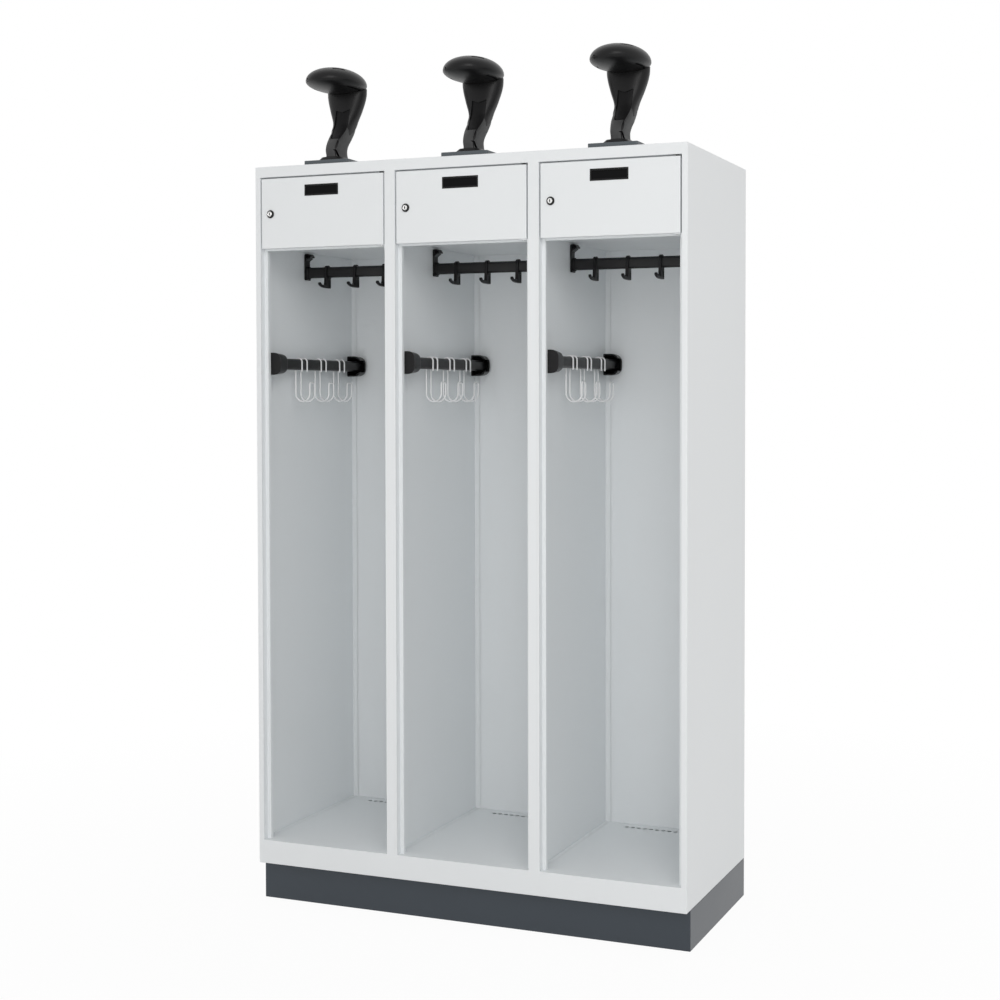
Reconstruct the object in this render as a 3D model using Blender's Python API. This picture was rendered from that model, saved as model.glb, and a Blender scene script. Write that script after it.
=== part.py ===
"""Firefighter gear locker with three open compartments.

Metres, +Z up. The front faces -Y and +X is on its right. The origin lies on the
floor, in the middle of the space that the locker and its helmet holders take up.
"""

import math

import bmesh
import bpy
from mathutils import Matrix, Vector

# Carcass
WIDTH = 1.200
DEPTH = 0.500
CARCASS_HEIGHT = 1.850
COMPARTMENTS = 3
SHEET = 0.001
GAP = 0.0003

# Front frame
STILE_WIDTH = 0.015
FRAME_DEPTH = 0.030
STOP_DEPTH = 0.019
STOP_WIDTH = 0.010
TOP_RAIL_HEIGHT = 0.028
BOTTOM_RAIL_HEIGHT = 0.0625

# Plinth
PLINTH_HEIGHT = 0.100
PLINTH_RECESS = 0.028
PLINTH_SHEET = 0.0015

# Floor vents
VENTS = 15
VENT_LENGTH = 0.0125
VENT_WIDTH = 0.004
VENT_PITCH = 0.0177
VENT_FROM_BACK = 0.030

# Valuables box and its door
DOOR_HEIGHT = 0.183
DOOR_GAP = 0.004
BOX_FLOOR_DROP = 0.203
LIP_HEIGHT = 0.017
HINGE_INSET = 0.009
HINGE_DEPTH = 0.008
PIN_RADIUS = 0.0025
PIN_REACH = 0.006
HINGE_RELIEF_WIDTH = 0.022
HINGE_RELIEF_DEPTH = 0.012
BRACKET_SHEET = 0.0015
BRACKET_DEPTH = 0.013

# Name slot of a door
LABEL_WIDTH = 0.100
LABEL_HEIGHT = 0.0295
LABEL_DROP = 0.0347

# Cylinder lock of a door
LOCK_FROM_DOOR_EDGE = 0.0275
LOCK_DROP = 0.093
LOCK_FLANGE_RADIUS = 0.010
LOCK_FLANGE_PROUD = 0.002
LOCK_BODY_RADIUS = 0.008
LOCK_BODY_LENGTH = 0.016
PLUG_RADIUS = 0.0055
PLUG_PROUD = 0.005
CAM_LENGTH = 0.030
CAM_WIDTH = 0.012
CAM_THICKNESS = 0.002

# Oval rail tube, used twice in each compartment
RAIL_THICKNESS = 0.015
RAIL_HEIGHT = 0.030
RAIL_WALL = 0.0015

# Coat rail, wall to wall
COAT_RAIL_FROM_FRONT = 0.250
COAT_RAIL_BELOW_BOX = 0.0565
BRACKET_WIDTH = 0.026
BRACKET_PLATE = 0.0035
BRACKET_ABOVE = 0.0523
BRACKET_BELOW = 0.0205
BRACKET_NOSE = 0.0195
BRACKET_NOSE_HEIGHT = 0.018
BRACKET_TOE = 0.0055

# Coat hook that slides on the coat rail
COAT_HOOKS = 3
COAT_HOOK_FIRST = 0.068
COAT_HOOK_PITCH = 0.090
COAT_HOOK_WIDTH = 0.0085
COAT_HOOK_STRAP = 0.004
COAT_HOOK_DROP = 0.044
COAT_HOOK_REACH = 0.040
COAT_HOOK_TIP_DROP = 0.0315
COAT_HOOK_ARM = 0.007

# Side rail, front to back along the left wall
SIDE_RAIL_FROM_LINE = 0.0325
SIDE_RAIL_BELOW_TOP = 0.5175
HOLDER_DEPTH = 0.046
HOLDER_MOUTH_RADIUS = 0.022
HOLDER_END_RADIUS = 0.0095
HOLDER_WALL = 0.004
HOLDER_SOCKET = 0.030
HOLDER_SLOT_DEPTH = 0.031
HOLDER_SLOT_HEIGHT = 0.034

# Wire hook that slides on the side rail
WIRE_HOOKS = 3
WIRE_HOOK_FIRST = 0.170
WIRE_HOOK_PITCH = 0.100
WIRE_RADIUS = 0.002
WIRE_SPREAD = 0.026
WIRE_DROP = 0.1025
WIRE_BOW = 0.0438
WIRE_TIP_RISE = 0.055
WIRE_TAIL = 0.004

# Helmet holder
PLATE_SIZE = 0.130
PLATE_FROM_FRONT = 0.022
PLATE_THICKNESS = 0.013
FLANGE_RISE = 0.004
FLANGE_HALF_WIDTH = 0.039
FLANGE_FRONT = 0.038
FLANGE_REAR = 0.142
FOOT_HALF_WIDTH = 0.0195
FOOT_FRONT = 0.047
FOOT_REAR = 0.118
SHIN_RISE = 0.030
SHIN_HALF_WIDTH = 0.0205
SHIN_FRONT = 0.0445
SHIN_REAR = 0.110
KNEE_RISE = 0.0465
KNEE_HALF_WIDTH = 0.0235
KNEE_FRONT = 0.053
KNEE_REAR = 0.115
THIGH_RISE = 0.062
THIGH_HALF_WIDTH = 0.0272
THIGH_FRONT = 0.0677
THIGH_REAR = 0.1246
WAIST_RISE = 0.083
WAIST_HALF_WIDTH = 0.0284
WAIST_FRONT = 0.0852
WAIST_REAR = 0.140
RIB_RISE = 0.106
RIB_HALF_WIDTH = 0.030
RIB_FRONT = 0.097
RIB_REAR = 0.151
CHEST_RISE = 0.140
CHEST_HALF_WIDTH = 0.043
CHEST_FRONT = 0.1028
CHEST_REAR = 0.1586
SHOULDER_RISE = 0.176
SHOULDER_HALF_WIDTH = 0.054
SHOULDER_FRONT = 0.1045
SHOULDER_REAR = 0.1655
NECK_RISE = 0.200
NECK_HALF_WIDTH = 0.0565
NECK_FRONT = 0.106
NECK_REAR = 0.166
FOOT_ROUND_SHARE = 0.42
NECK_ROUND_SHARE = 0.94
HEAD_HALF_WIDTH = 0.073
HEAD_HALF_DEPTH = 0.097
HEAD_UPPER_HEIGHT = 0.0397
HEAD_LOWER_HEIGHT = 0.023
HEAD_FROM_FRONT = 0.080
HEAD_RISE = 0.2065

# How finely round shapes are divided
ARC_STEPS = 6
ROUND_SIDES = 16
HEAD_SIDES = 28
HEAD_RINGS = 12

# Places worked out from the sizes
LEFT = -WIDTH / 2
RIGHT = WIDTH / 2
PITCH = WIDTH / COMPARTMENTS
HEAD_OVERHANG = HEAD_HALF_DEPTH - HEAD_FROM_FRONT
FRONT = (HEAD_OVERHANG - DEPTH) / 2
BACK = FRONT + DEPTH
TOP = PLINTH_HEIGHT + CARCASS_HEIGHT
BASE = PLINTH_HEIGHT + GAP
OPENING_TOP = TOP - TOP_RAIL_HEIGHT
FLOOR_TOP = PLINTH_HEIGHT + BOTTOM_RAIL_HEIGHT
WALL_FRONT = FRONT + FRAME_DEPTH + GAP
WALL_BACK = BACK - SHEET - GAP
WALL_TOP = TOP - SHEET - GAP
DOOR_WIDTH = PITCH - 2 * STILE_WIDTH - 2 * DOOR_GAP
DOOR_DEPTH = STOP_DEPTH - GAP
DOOR_TOP = OPENING_TOP - DOOR_GAP
DOOR_BOTTOM = DOOR_TOP - DOOR_HEIGHT
BOX_FLOOR_TOP = TOP - BOX_FLOOR_DROP
BOX_FLOOR_UNDER = BOX_FLOOR_TOP - SHEET
COAT_RAIL_Y = FRONT + COAT_RAIL_FROM_FRONT
COAT_RAIL_Z = BOX_FLOOR_UNDER - COAT_RAIL_BELOW_BOX
SIDE_RAIL_Z = TOP - SIDE_RAIL_BELOW_TOP
RAIL_RADIUS = RAIL_THICKNESS / 2
RAIL_STRAIGHT = (RAIL_HEIGHT - RAIL_THICKNESS) / 2
HOLDER_REAR_MOUTH = WALL_BACK - HOLDER_DEPTH
PLATE_TOP = TOP + GAP + PLATE_THICKNESS


def compartment_line(index):
    """X of the line on the left of a compartment."""
    return LEFT + index * PITCH


def new_collection(name):
    """A collection in the scene."""
    collection = bpy.data.collections.new(name)
    bpy.context.scene.collection.children.link(collection)
    return collection


def material(name, colour, roughness, metallic=0.0):
    """A plain finish."""
    made = bpy.data.materials.new(name)
    made.use_nodes = True
    shader = made.node_tree.nodes["Principled BSDF"]
    shader.inputs["Base Color"].default_value = (*colour, 1.0)
    shader.inputs["Roughness"].default_value = roughness
    shader.inputs["Metallic"].default_value = metallic
    return made


def finish(name, mesh, place, surface, parent=None):
    """Puts a mesh in the locker as a named piece with its origin at a place in the room."""
    piece = bpy.data.objects.new(name, mesh)
    mesh.materials.clear()
    mesh.materials.append(surface)
    LOCKER.objects.link(piece)
    piece.location = place
    if parent:
        piece.parent = parent
        piece.location = place - parent.location
    return piece


def cutter(name, mesh, place):
    """A hidden shape that cuts or joins another."""
    tool = bpy.data.objects.new(name, mesh)
    CUTTERS.objects.link(tool)
    tool.location = place
    tool.hide_render = True
    tool.display_type = "WIRE"
    return tool


def shape_with(piece, tool, operation):
    """Adds an exact Boolean with a hidden shape to a piece."""
    change = piece.modifiers.new(tool.name, "BOOLEAN")
    change.operation = operation
    change.solver = "EXACT"
    change.object = tool


def mesh_from(name, build):
    """A mesh that a function fills by bmesh."""
    made = bmesh.new()
    build(made)
    bmesh.ops.recalc_face_normals(made, faces=made.faces)
    mesh = bpy.data.meshes.new(name)
    made.to_mesh(mesh)
    made.free()
    return mesh


def add_box(made, low, high):
    """Adds a box between two corners."""
    low = Vector(low)
    high = Vector(high)
    size = high - low
    spot = Matrix.Translation((low + high) / 2) @ Matrix.Diagonal((*size, 1.0))
    bmesh.ops.create_cube(made, size=1.0, matrix=spot)


def box_mesh(name, *boxes):
    """A mesh of one or more boxes, each given by its lowest and highest corner."""
    def build(made):
        for low, high in boxes:
            add_box(made, low, high)
    return mesh_from(name, build)


def add_cylinder(made, radius, start, end):
    """Adds a cylinder between two points."""
    start = Vector(start)
    end = Vector(end)
    turn = (end - start).to_track_quat("Z", "Y").to_matrix().to_4x4()
    spot = Matrix.Translation((start + end) / 2) @ turn
    length = (end - start).length
    bmesh.ops.create_cone(made, cap_ends=True, segments=ROUND_SIDES, radius1=radius, radius2=radius,
                          depth=length, matrix=spot)


def add_loft(made, rings):
    """Adds a closed body through rings with equal numbers of points."""
    rows = [[made.verts.new(point) for point in ring] for ring in rings]
    count = len(rows[0])
    for near, far in zip(rows, rows[1:]):
        for i in range(count):
            j = (i + 1) % count
            made.faces.new((near[i], near[j], far[j], far[i]))
    made.faces.new(rows[0])
    made.faces.new(rows[-1])


def stadium(radius, straight):
    """Points of an upright oval in its own plane: half circles above and below straight sides."""
    points = []
    for side, start in ((1, 0.0), (-1, math.pi)):
        for step in range(ARC_STEPS + 1):
            angle = start + math.pi * step / ARC_STEPS
            points.append((radius * math.cos(angle), radius * math.sin(angle) + side * straight))
    return points


def oval_ring(radius, y):
    """A ring of the upright oval at a depth."""
    return [(across, y, up) for across, up in stadium(radius, RAIL_STRAIGHT)]


def flat_outline(name, outlines, thickness):
    """The mesh of a plate cut to outlines in its own XY plane, centred on its thickness."""
    curve = bpy.data.curves.new(name, "CURVE")
    curve.dimensions = "2D"
    curve.fill_mode = "BOTH"
    curve.extrude = thickness / 2
    for points in outlines:
        spline = curve.splines.new("POLY")
        spline.points.add(len(points) - 1)
        spline.use_cyclic_u = True
        for point, (across, up) in zip(spline.points, points):
            point.co = (across, up, 0.0, 1.0)
    return curve_mesh(name, curve)


def wire(name, path, radius):
    """The mesh of a round wire with closed ends along a path of points."""
    curve = bpy.data.curves.new(name, "CURVE")
    curve.dimensions = "3D"
    curve.bevel_depth = radius
    curve.bevel_resolution = 2
    curve.use_fill_caps = True
    spline = curve.splines.new("POLY")
    spline.points.add(len(path) - 1)
    for point, place in zip(spline.points, path):
        point.co = (*place, 1.0)
    return curve_mesh(name, curve)


def curve_mesh(name, curve):
    """Turns a curve into a closed mesh with its caps welded."""
    guide = bpy.data.objects.new(name, curve)
    bpy.context.scene.collection.objects.link(guide)
    bpy.context.view_layer.update()
    evaluated = guide.evaluated_get(bpy.context.evaluated_depsgraph_get())
    mesh = bpy.data.meshes.new_from_object(evaluated)
    bpy.data.objects.remove(guide)
    bpy.data.curves.remove(curve)
    made = bmesh.new()
    made.from_mesh(mesh)
    bmesh.ops.remove_doubles(made, verts=made.verts, dist=GAP / 10)
    bmesh.ops.recalc_face_normals(made, faces=made.faces)
    made.to_mesh(mesh)
    made.free()
    return mesh


def smooth(piece):
    """Shades the round faces of a piece smoothly and keeps its sharp edges."""
    piece.data.shade_smooth()
    piece.data.set_sharp_from_angle(angle=math.radians(30))


def carcass_sheets():
    """Side, back, top and floor sheets, and the walls between the compartments."""
    for name, x in (("side_panel_left", LEFT), ("side_panel_right", RIGHT - SHEET)):
        mesh = box_mesh(name, ((0, WALL_FRONT, BASE), (SHEET, BACK, TOP)))
        finish(name, mesh, Vector((x, 0, 0)), PAINT)
    inner_left = LEFT + SHEET + GAP
    inner_right = RIGHT - SHEET - GAP
    back = box_mesh("back_panel", ((inner_left, BACK - SHEET, BASE), (inner_right, BACK, WALL_TOP)))
    finish("back_panel", back, Vector((0, 0, 0)), PAINT)
    top = box_mesh("top_panel", ((inner_left, WALL_FRONT, TOP - SHEET), (inner_right, BACK, TOP)))
    finish("top_panel", top, Vector((0, 0, 0)), PAINT)
    low = (inner_left, WALL_FRONT, FLOOR_TOP - SHEET)
    floor = finish("floor_panel", box_mesh("floor_panel", (low, (inner_right, WALL_BACK, FLOOR_TOP))),
                   Vector((0, 0, 0)), PAINT)
    shape_with(floor, vent_cutter(), "DIFFERENCE")
    for index in range(1, COMPARTMENTS):
        name = f"divider_panel_{index}"
        mesh = box_mesh(name, ((-SHEET / 2, WALL_FRONT, FLOOR_TOP + GAP), (SHEET / 2, WALL_BACK, WALL_TOP)))
        finish(name, mesh, Vector((compartment_line(index), 0, 0)), PAINT)


def vent_cutter():
    """The row of vent slots along the back of each compartment's floor."""
    boxes = []
    y = BACK - VENT_FROM_BACK
    for index in range(COMPARTMENTS):
        for slot in range(VENTS):
            x = compartment_line(index) + PITCH / 2 + (slot - (VENTS - 1) / 2) * VENT_PITCH
            low = (x - VENT_LENGTH / 2, y - VENT_WIDTH / 2, FLOOR_TOP - 2 * SHEET)
            high = (x + VENT_LENGTH / 2, y + VENT_WIDTH / 2, FLOOR_TOP + SHEET)
            boxes.append((low, high))
    return cutter("vent_cutter", box_mesh("vent_cutter", *boxes), Vector((0, 0, 0)))


def front_frame():
    """The welded front: rails and stiles, the stop behind the doors, and the hinge pins."""
    end = (RIGHT, FRONT + FRAME_DEPTH, TOP)
    frame = finish("front_frame", box_mesh("front_frame", ((LEFT, FRONT, BASE), end)), Vector((0, 0, 0)), PAINT)
    openings = mesh_from("openings", add_openings)
    shape_with(frame, cutter("openings", openings, Vector((0, 0, 0))), "DIFFERENCE")
    brackets = box_mesh("hinge_brackets", *hinge_brackets())
    shape_with(frame, cutter("hinge_brackets", brackets, Vector((0, 0, 0))), "UNION")
    pins = mesh_from("hinge_pins", add_hinge_pins)
    shape_with(frame, cutter("hinge_pins", pins, Vector((0, 0, 0))), "UNION")


def add_openings(made):
    """Adds the space of each opening: wide before the stop, narrower between its three sides."""
    step = FRONT + STOP_DEPTH
    near = FRONT - FRAME_DEPTH
    far = FRONT + 2 * FRAME_DEPTH
    for index in range(COMPARTMENTS):
        left = compartment_line(index) + STILE_WIDTH
        right = compartment_line(index + 1) - STILE_WIDTH
        wide = [(left, step), (left, near), (right, near), (right, step)]
        narrow = [(right - STOP_WIDTH, step), (right - STOP_WIDTH, far),
                  (left + STOP_WIDTH, far), (left + STOP_WIDTH, step)]
        foot = [made.verts.new((x, y, FLOOR_TOP)) for x, y in wide + narrow]
        under = [made.verts.new((x, y, OPENING_TOP - STOP_WIDTH)) for x, y in wide + narrow]
        head = [made.verts.new((x, y, OPENING_TOP)) for x, y in wide]
        ledge = under[len(wide):]
        made.faces.new(foot)
        made.faces.new(head)
        made.faces.new(ledge)
        made.faces.new((head[-1], head[0], under[0], ledge[-1], ledge[0], under[len(wide) - 1]))
        add_sides(made, foot + foot[:1], under + under[:1])
        add_sides(made, under[:len(wide)], head)


def add_sides(made, low, high):
    """Adds a face between each pair of neighbours in two rows of vertices."""
    for (low_near, low_far), (high_near, high_far) in zip(zip(low, low[1:]), zip(high, high[1:])):
        made.faces.new((low_near, low_far, high_far, high_near))


def upright_plate(name, outlines, thickness):
    """A plate that stands in the XZ plane, centred on its thickness."""
    plate = flat_outline(name, outlines, thickness)
    plate.transform(Matrix.Rotation(math.pi / 2, 4, "X"))
    return plate


def hinge_brackets():
    """Corners of the small bracket under each door's hinge edge, welded to the stile."""
    boxes = []
    near = FRONT + HINGE_DEPTH - BRACKET_DEPTH / 2
    top = DOOR_BOTTOM - GAP
    for index in range(COMPARTMENTS):
        edge = compartment_line(index + 1) - STILE_WIDTH
        left = edge - DOOR_GAP - HINGE_RELIEF_WIDTH
        boxes.append(((left, near, top - BRACKET_SHEET), (edge + BRACKET_SHEET, near + BRACKET_DEPTH, top)))
    return boxes


def add_hinge_pins(made):
    """Adds a pin down from the top rail and a pin up from the bracket for each door."""
    y = FRONT + HINGE_DEPTH
    for index in range(COMPARTMENTS):
        x = compartment_line(index + 1) - STILE_WIDTH - DOOR_GAP - HINGE_INSET
        foot = DOOR_BOTTOM - GAP - BRACKET_SHEET / 2
        add_cylinder(made, PIN_RADIUS, (x, y, DOOR_TOP - PIN_REACH), (x, y, OPENING_TOP + PIN_REACH))
        add_cylinder(made, PIN_RADIUS, (x, y, foot), (x, y, DOOR_BOTTOM + PIN_REACH))


def plinth():
    """A ring of upright sheet under the carcass, set back at the front."""
    front = FRONT + PLINTH_RECESS
    outside = [(LEFT, front), (RIGHT, front), (RIGHT, BACK), (LEFT, BACK)]
    inner_left = LEFT + PLINTH_SHEET
    inner_right = RIGHT - PLINTH_SHEET
    near = front + PLINTH_SHEET
    far = BACK - PLINTH_SHEET
    inside = [(inner_left, near), (inner_right, near), (inner_right, far), (inner_left, far)]
    ring = flat_outline("plinth", [outside, inside], PLINTH_HEIGHT)
    finish("plinth", ring, Vector((0, 0, PLINTH_HEIGHT / 2)), PLINTH_PAINT)


def box_floor(index):
    """Floor of a valuables box with a lip that hangs down behind the door."""
    left, right = wall_faces(index)
    line = compartment_line(index)
    inner_left = line + STILE_WIDTH + STOP_WIDTH + GAP
    inner_right = line + PITCH - STILE_WIDTH - STOP_WIDTH - GAP
    lip = FRONT + STOP_DEPTH
    name = f"box_floor_{index + 1}"
    floor = box_mesh(name, ((left, WALL_FRONT, BOX_FLOOR_UNDER), (right, WALL_BACK, BOX_FLOOR_TOP)))
    piece = finish(name, floor, Vector((0, 0, 0)), PAINT)
    tongue_end = (inner_right, WALL_FRONT + SHEET, BOX_FLOOR_TOP)
    tongue = box_mesh("tongue", ((inner_left, lip, BOX_FLOOR_UNDER), tongue_end))
    shape_with(piece, cutter(f"box_tongue_{index + 1}", tongue, Vector((0, 0, 0))), "UNION")
    apron_end = (inner_right, lip + SHEET, BOX_FLOOR_TOP)
    apron = box_mesh("apron", ((inner_left, lip, BOX_FLOOR_TOP - LIP_HEIGHT), apron_end))
    shape_with(piece, cutter(f"box_lip_{index + 1}", apron, Vector((0, 0, 0))), "UNION")


def door(index):
    """A pressed door pan with its name slot, lock and relief for the hinge."""
    line = compartment_line(index)
    left = line + STILE_WIDTH + DOOR_GAP
    right = left + DOOR_WIDTH
    axis = Vector((right - HINGE_INSET, FRONT + HINGE_DEPTH, (DOOR_TOP + DOOR_BOTTOM) / 2))
    low = Vector((left, FRONT, DOOR_BOTTOM)) - axis
    high = Vector((right, FRONT + DOOR_DEPTH, DOOR_TOP)) - axis
    name = f"door_{index + 1}"
    pan = finish(name, box_mesh(name, (low, high)), axis, PAINT)
    wall = Vector((SHEET, SHEET, SHEET))
    hollow = box_mesh("hollow", (low + wall, Vector((high.x - SHEET, high.y + SHEET, high.z - SHEET))))
    shape_with(pan, cutter(f"door_hollow_{index + 1}", hollow, axis), "DIFFERENCE")
    relief_low = Vector((high.x - HINGE_RELIEF_WIDTH, low.y + HINGE_RELIEF_DEPTH, low.z - SHEET))
    relief = box_mesh("relief", (relief_low, high + wall))
    shape_with(pan, cutter(f"door_relief_{index + 1}", relief, axis), "DIFFERENCE")
    pin_holes = mesh_from("pin_holes", lambda made: add_cylinder(
        made, PIN_RADIUS + GAP, (0, 0, low.z - SHEET), (0, 0, high.z + SHEET)))
    shape_with(pan, cutter(f"door_pin_holes_{index + 1}", pin_holes, axis), "DIFFERENCE")
    half = Vector((LABEL_WIDTH / 2, SHEET * 2, LABEL_HEIGHT / 2))
    window = box_mesh("window", (-half, half))
    centre = Vector((line + PITCH / 2, FRONT, DOOR_TOP - LABEL_DROP))
    shape_with(pan, cutter(f"door_window_{index + 1}", window, centre), "DIFFERENCE")
    lock(index, pan, Vector((left + LOCK_FROM_DOOR_EDGE, FRONT, DOOR_TOP - LOCK_DROP)))


def lock(index, pan, centre):
    """A cylinder lock: its housing in the door, and the turning plug with its cam."""
    reach = DOOR_DEPTH + SHEET
    hole = mesh_from("hole", lambda made: add_cylinder(
        made, LOCK_BODY_RADIUS + GAP, (0, -SHEET, 0), (0, SHEET + SHEET, 0)))
    shape_with(pan, cutter(f"door_lock_hole_{index + 1}", hole, centre), "DIFFERENCE")
    name = f"lock_barrel_{index + 1}"
    barrel = mesh_from(name, lambda made: add_cylinder(
        made, LOCK_FLANGE_RADIUS, (0, -LOCK_FLANGE_PROUD - GAP, 0), (0, -GAP, 0)))
    housing = finish(name, barrel, centre, CHROME, pan)
    body = mesh_from("body", lambda made: add_cylinder(
        made, LOCK_BODY_RADIUS, (0, -GAP - LOCK_FLANGE_PROUD / 2, 0), (0, LOCK_BODY_LENGTH, 0)))
    shape_with(housing, cutter(f"lock_body_{index + 1}", body, centre), "UNION")
    bore = mesh_from("bore", lambda made: add_cylinder(
        made, PLUG_RADIUS + GAP, (0, -PLUG_PROUD, 0), (0, reach, 0)))
    shape_with(housing, cutter(f"lock_bore_{index + 1}", bore, centre), "DIFFERENCE")
    smooth(housing)
    cam_front = FRAME_DEPTH + GAP
    cam_rear = cam_front + CAM_THICKNESS
    name = f"lock_cam_{index + 1}"
    plug = mesh_from(name, lambda made: add_cylinder(
        made, PLUG_RADIUS, (0, -PLUG_PROUD, 0), (0, cam_rear, 0)))
    rotor = finish(name, plug, centre, CHROME, pan)
    half = CAM_WIDTH / 2
    plate = box_mesh("cam", ((-half, cam_front, -half), (half, cam_rear, CAM_LENGTH)))
    shape_with(rotor, cutter(f"lock_cam_plate_{index + 1}", plate, centre), "UNION")
    smooth(rotor)


def rail_section():
    """Outer and inner outline of the oval rail tube."""
    return [stadium(RAIL_RADIUS, RAIL_STRAIGHT), stadium(RAIL_RADIUS - RAIL_WALL, RAIL_STRAIGHT)]


def coat_rails():
    """The rail across each compartment, with the wall bracket at each of its ends."""
    along = Matrix(((0, 0, 1, 0), (1, 0, 0, 0), (0, 1, 0, 0), (0, 0, 0, 1)))
    turned = Matrix.Rotation(math.pi, 4, "Z")
    outer, inner = rail_section()
    for index in range(COMPARTMENTS):
        left, right = wall_faces(index)
        centre = Vector(((left + right) / 2, COAT_RAIL_Y, COAT_RAIL_Z))
        half = (right - left) / 2
        name = f"coat_rail_{index + 1}"
        bracket = upright_plate(name, [bracket_outline()], BRACKET_WIDTH)
        bracket.transform(Matrix.Translation((-half, 0, 0)))
        other = bracket.copy()
        other.transform(turned)
        rail = finish(name, bracket, centre, BLACK_METAL)
        shape_with(rail, cutter(f"far_bracket_{index + 1}", other, centre), "UNION")
        bar = flat_outline("bar", [outer], 2 * half - BRACKET_PLATE)
        bar.transform(along)
        shape_with(rail, cutter(f"coat_bar_{index + 1}", bar, centre), "UNION")
        bore = flat_outline("bore", [inner], 2 * half + BRACKET_PLATE)
        bore.transform(along)
        shape_with(rail, cutter(f"coat_bore_{index + 1}", bore, centre), "DIFFERENCE")
        smooth(rail)


def wall_faces(index):
    """X of the faces, a gap off the walls, between which a compartment's pieces fit."""
    left_wall = SHEET / 2 if index else SHEET
    right_wall = SHEET / 2 if index < COMPARTMENTS - 1 else SHEET
    return compartment_line(index) + left_wall + GAP, compartment_line(index + 1) - right_wall - GAP


def bracket_outline():
    """Front view of the wall bracket at the left end of a coat rail, from the rail's centre."""
    nose = BRACKET_ABOVE - BRACKET_NOSE_HEIGHT
    foot = -BRACKET_BELOW
    blunt = BRACKET_NOSE - BRACKET_PLATE
    return [(0, foot), (BRACKET_TOE, foot), (BRACKET_TOE, foot + BRACKET_PLATE),
            (BRACKET_PLATE, foot + BRACKET_TOE), (BRACKET_PLATE, nose),
            (BRACKET_NOSE, nose + BRACKET_NOSE_HEIGHT / 2), (blunt, BRACKET_ABOVE),
            (BRACKET_PLATE, BRACKET_ABOVE), (0, BRACKET_ABOVE - BRACKET_PLATE)]


def arc(centre, radius, start, end, steps=ARC_STEPS):
    """Points of an arc, with its angles in degrees."""
    points = []
    for step in range(steps + 1):
        angle = math.radians(start + (end - start) * step / steps)
        points.append((centre[0] + radius * math.cos(angle), centre[1] + radius * math.sin(angle)))
    return points


def coat_hook_outline():
    """Side view of a coat hook: strap round the rail, stem and a curl to the front."""
    inner = RAIL_RADIUS + GAP
    outer = inner + COAT_HOOK_STRAP
    strap_top = arc((0, RAIL_STRAIGHT), outer, 0, 180)
    throat = -RAIL_STRAIGHT - outer
    tip = (-COAT_HOOK_REACH + COAT_HOOK_ARM / 2, -COAT_HOOK_TIP_DROP - COAT_HOOK_ARM / 2)
    tip_round = arc(tip, COAT_HOOK_ARM / 2, 60, 210)
    bottom = -COAT_HOOK_DROP
    bite = COAT_HOOK_ARM * 2
    outside = strap_top + [(-outer, throat), (-outer, bottom + bite)]
    outside += [(-outer - COAT_HOOK_ARM / 2, bottom + COAT_HOOK_ARM), (-outer - bite, bottom + COAT_HOOK_ARM)]
    outside += tip_round
    heel = COAT_HOOK_STRAP / 2
    outside += [(-outer - bite, bottom + COAT_HOOK_ARM / 7), (-outer, bottom), (outer - heel, bottom),
                (outer, bottom + heel)]
    return [outside, stadium(inner, RAIL_STRAIGHT)]


def coat_hooks():
    """Hooks that slide along the coat rails."""
    plate = flat_outline("coat_hook", coat_hook_outline(), COAT_HOOK_WIDTH)
    plate.transform(Matrix(((0, 0, 1, 0), (1, 0, 0, 0), (0, 1, 0, 0), (0, 0, 0, 1))))
    for index in range(COMPARTMENTS):
        for hook in range(COAT_HOOKS):
            x = compartment_line(index) + COAT_HOOK_FIRST + hook * COAT_HOOK_PITCH
            name = f"coat_hook_{index + 1}{'abc'[hook]}"
            piece = finish(name, plate.copy(), Vector((x, COAT_RAIL_Y, COAT_RAIL_Z)), PLASTIC)
            smooth(piece)


def holder_radius(depth):
    """Outer radius of a rail holder at a depth behind its mouth."""
    bulge = math.sqrt(max(0.0, 1 - (depth / HOLDER_DEPTH) ** 3))
    return HOLDER_END_RADIUS + (HOLDER_MOUTH_RADIUS - HOLDER_END_RADIUS) * bulge


def side_rails():
    """The rail along the left wall of each compartment, and its two holders."""
    shares = (0.0, 0.25, 0.45, 0.62, 0.76, 0.87, 0.95, 1.0)
    outer = [oval_ring(holder_radius(share * HOLDER_DEPTH), share * HOLDER_DEPTH) for share in shares]
    socket = HOLDER_DEPTH - HOLDER_SOCKET
    fit = RAIL_RADIUS + GAP
    front = mesh_from("rail_holder_front", lambda made: add_loft(
        made, outer + [oval_ring(fit, HOLDER_DEPTH), oval_ring(fit, socket)]))
    cup = HOLDER_DEPTH - HOLDER_WALL
    inner = [oval_ring(holder_radius(share * HOLDER_DEPTH) - HOLDER_WALL, share * cup)
             for share in shares[:-2]]
    cup_rings = outer[::-1] + inner + [oval_ring(fit, cup)]
    rear = mesh_from("rail_holder_rear", lambda made: add_loft(made, cup_rings))
    start = WALL_FRONT + socket + GAP
    end = HOLDER_REAR_MOUTH + cup - GAP
    tube = flat_outline("side_rail", rail_section(), end - start)
    tube.transform(Matrix.Rotation(math.pi / 2, 4, "X"))
    for index in range(COMPARTMENTS):
        x = compartment_line(index) + SIDE_RAIL_FROM_LINE
        number = index + 1
        places = ((f"rail_holder_front_{number}", front, WALL_FRONT, PLASTIC),
                  (f"rail_holder_rear_{number}", rear, HOLDER_REAR_MOUTH, PLASTIC),
                  (f"side_rail_{number}", tube, (start + end) / 2, BLACK_METAL))
        for name, mesh, y, surface in places:
            piece = finish(name, mesh.copy(), Vector((x, y, SIDE_RAIL_Z)), surface)
            if mesh is rear:
                shape_with(piece, slot_cutter(name, piece.location), "DIFFERENCE")
            smooth(piece)


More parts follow.
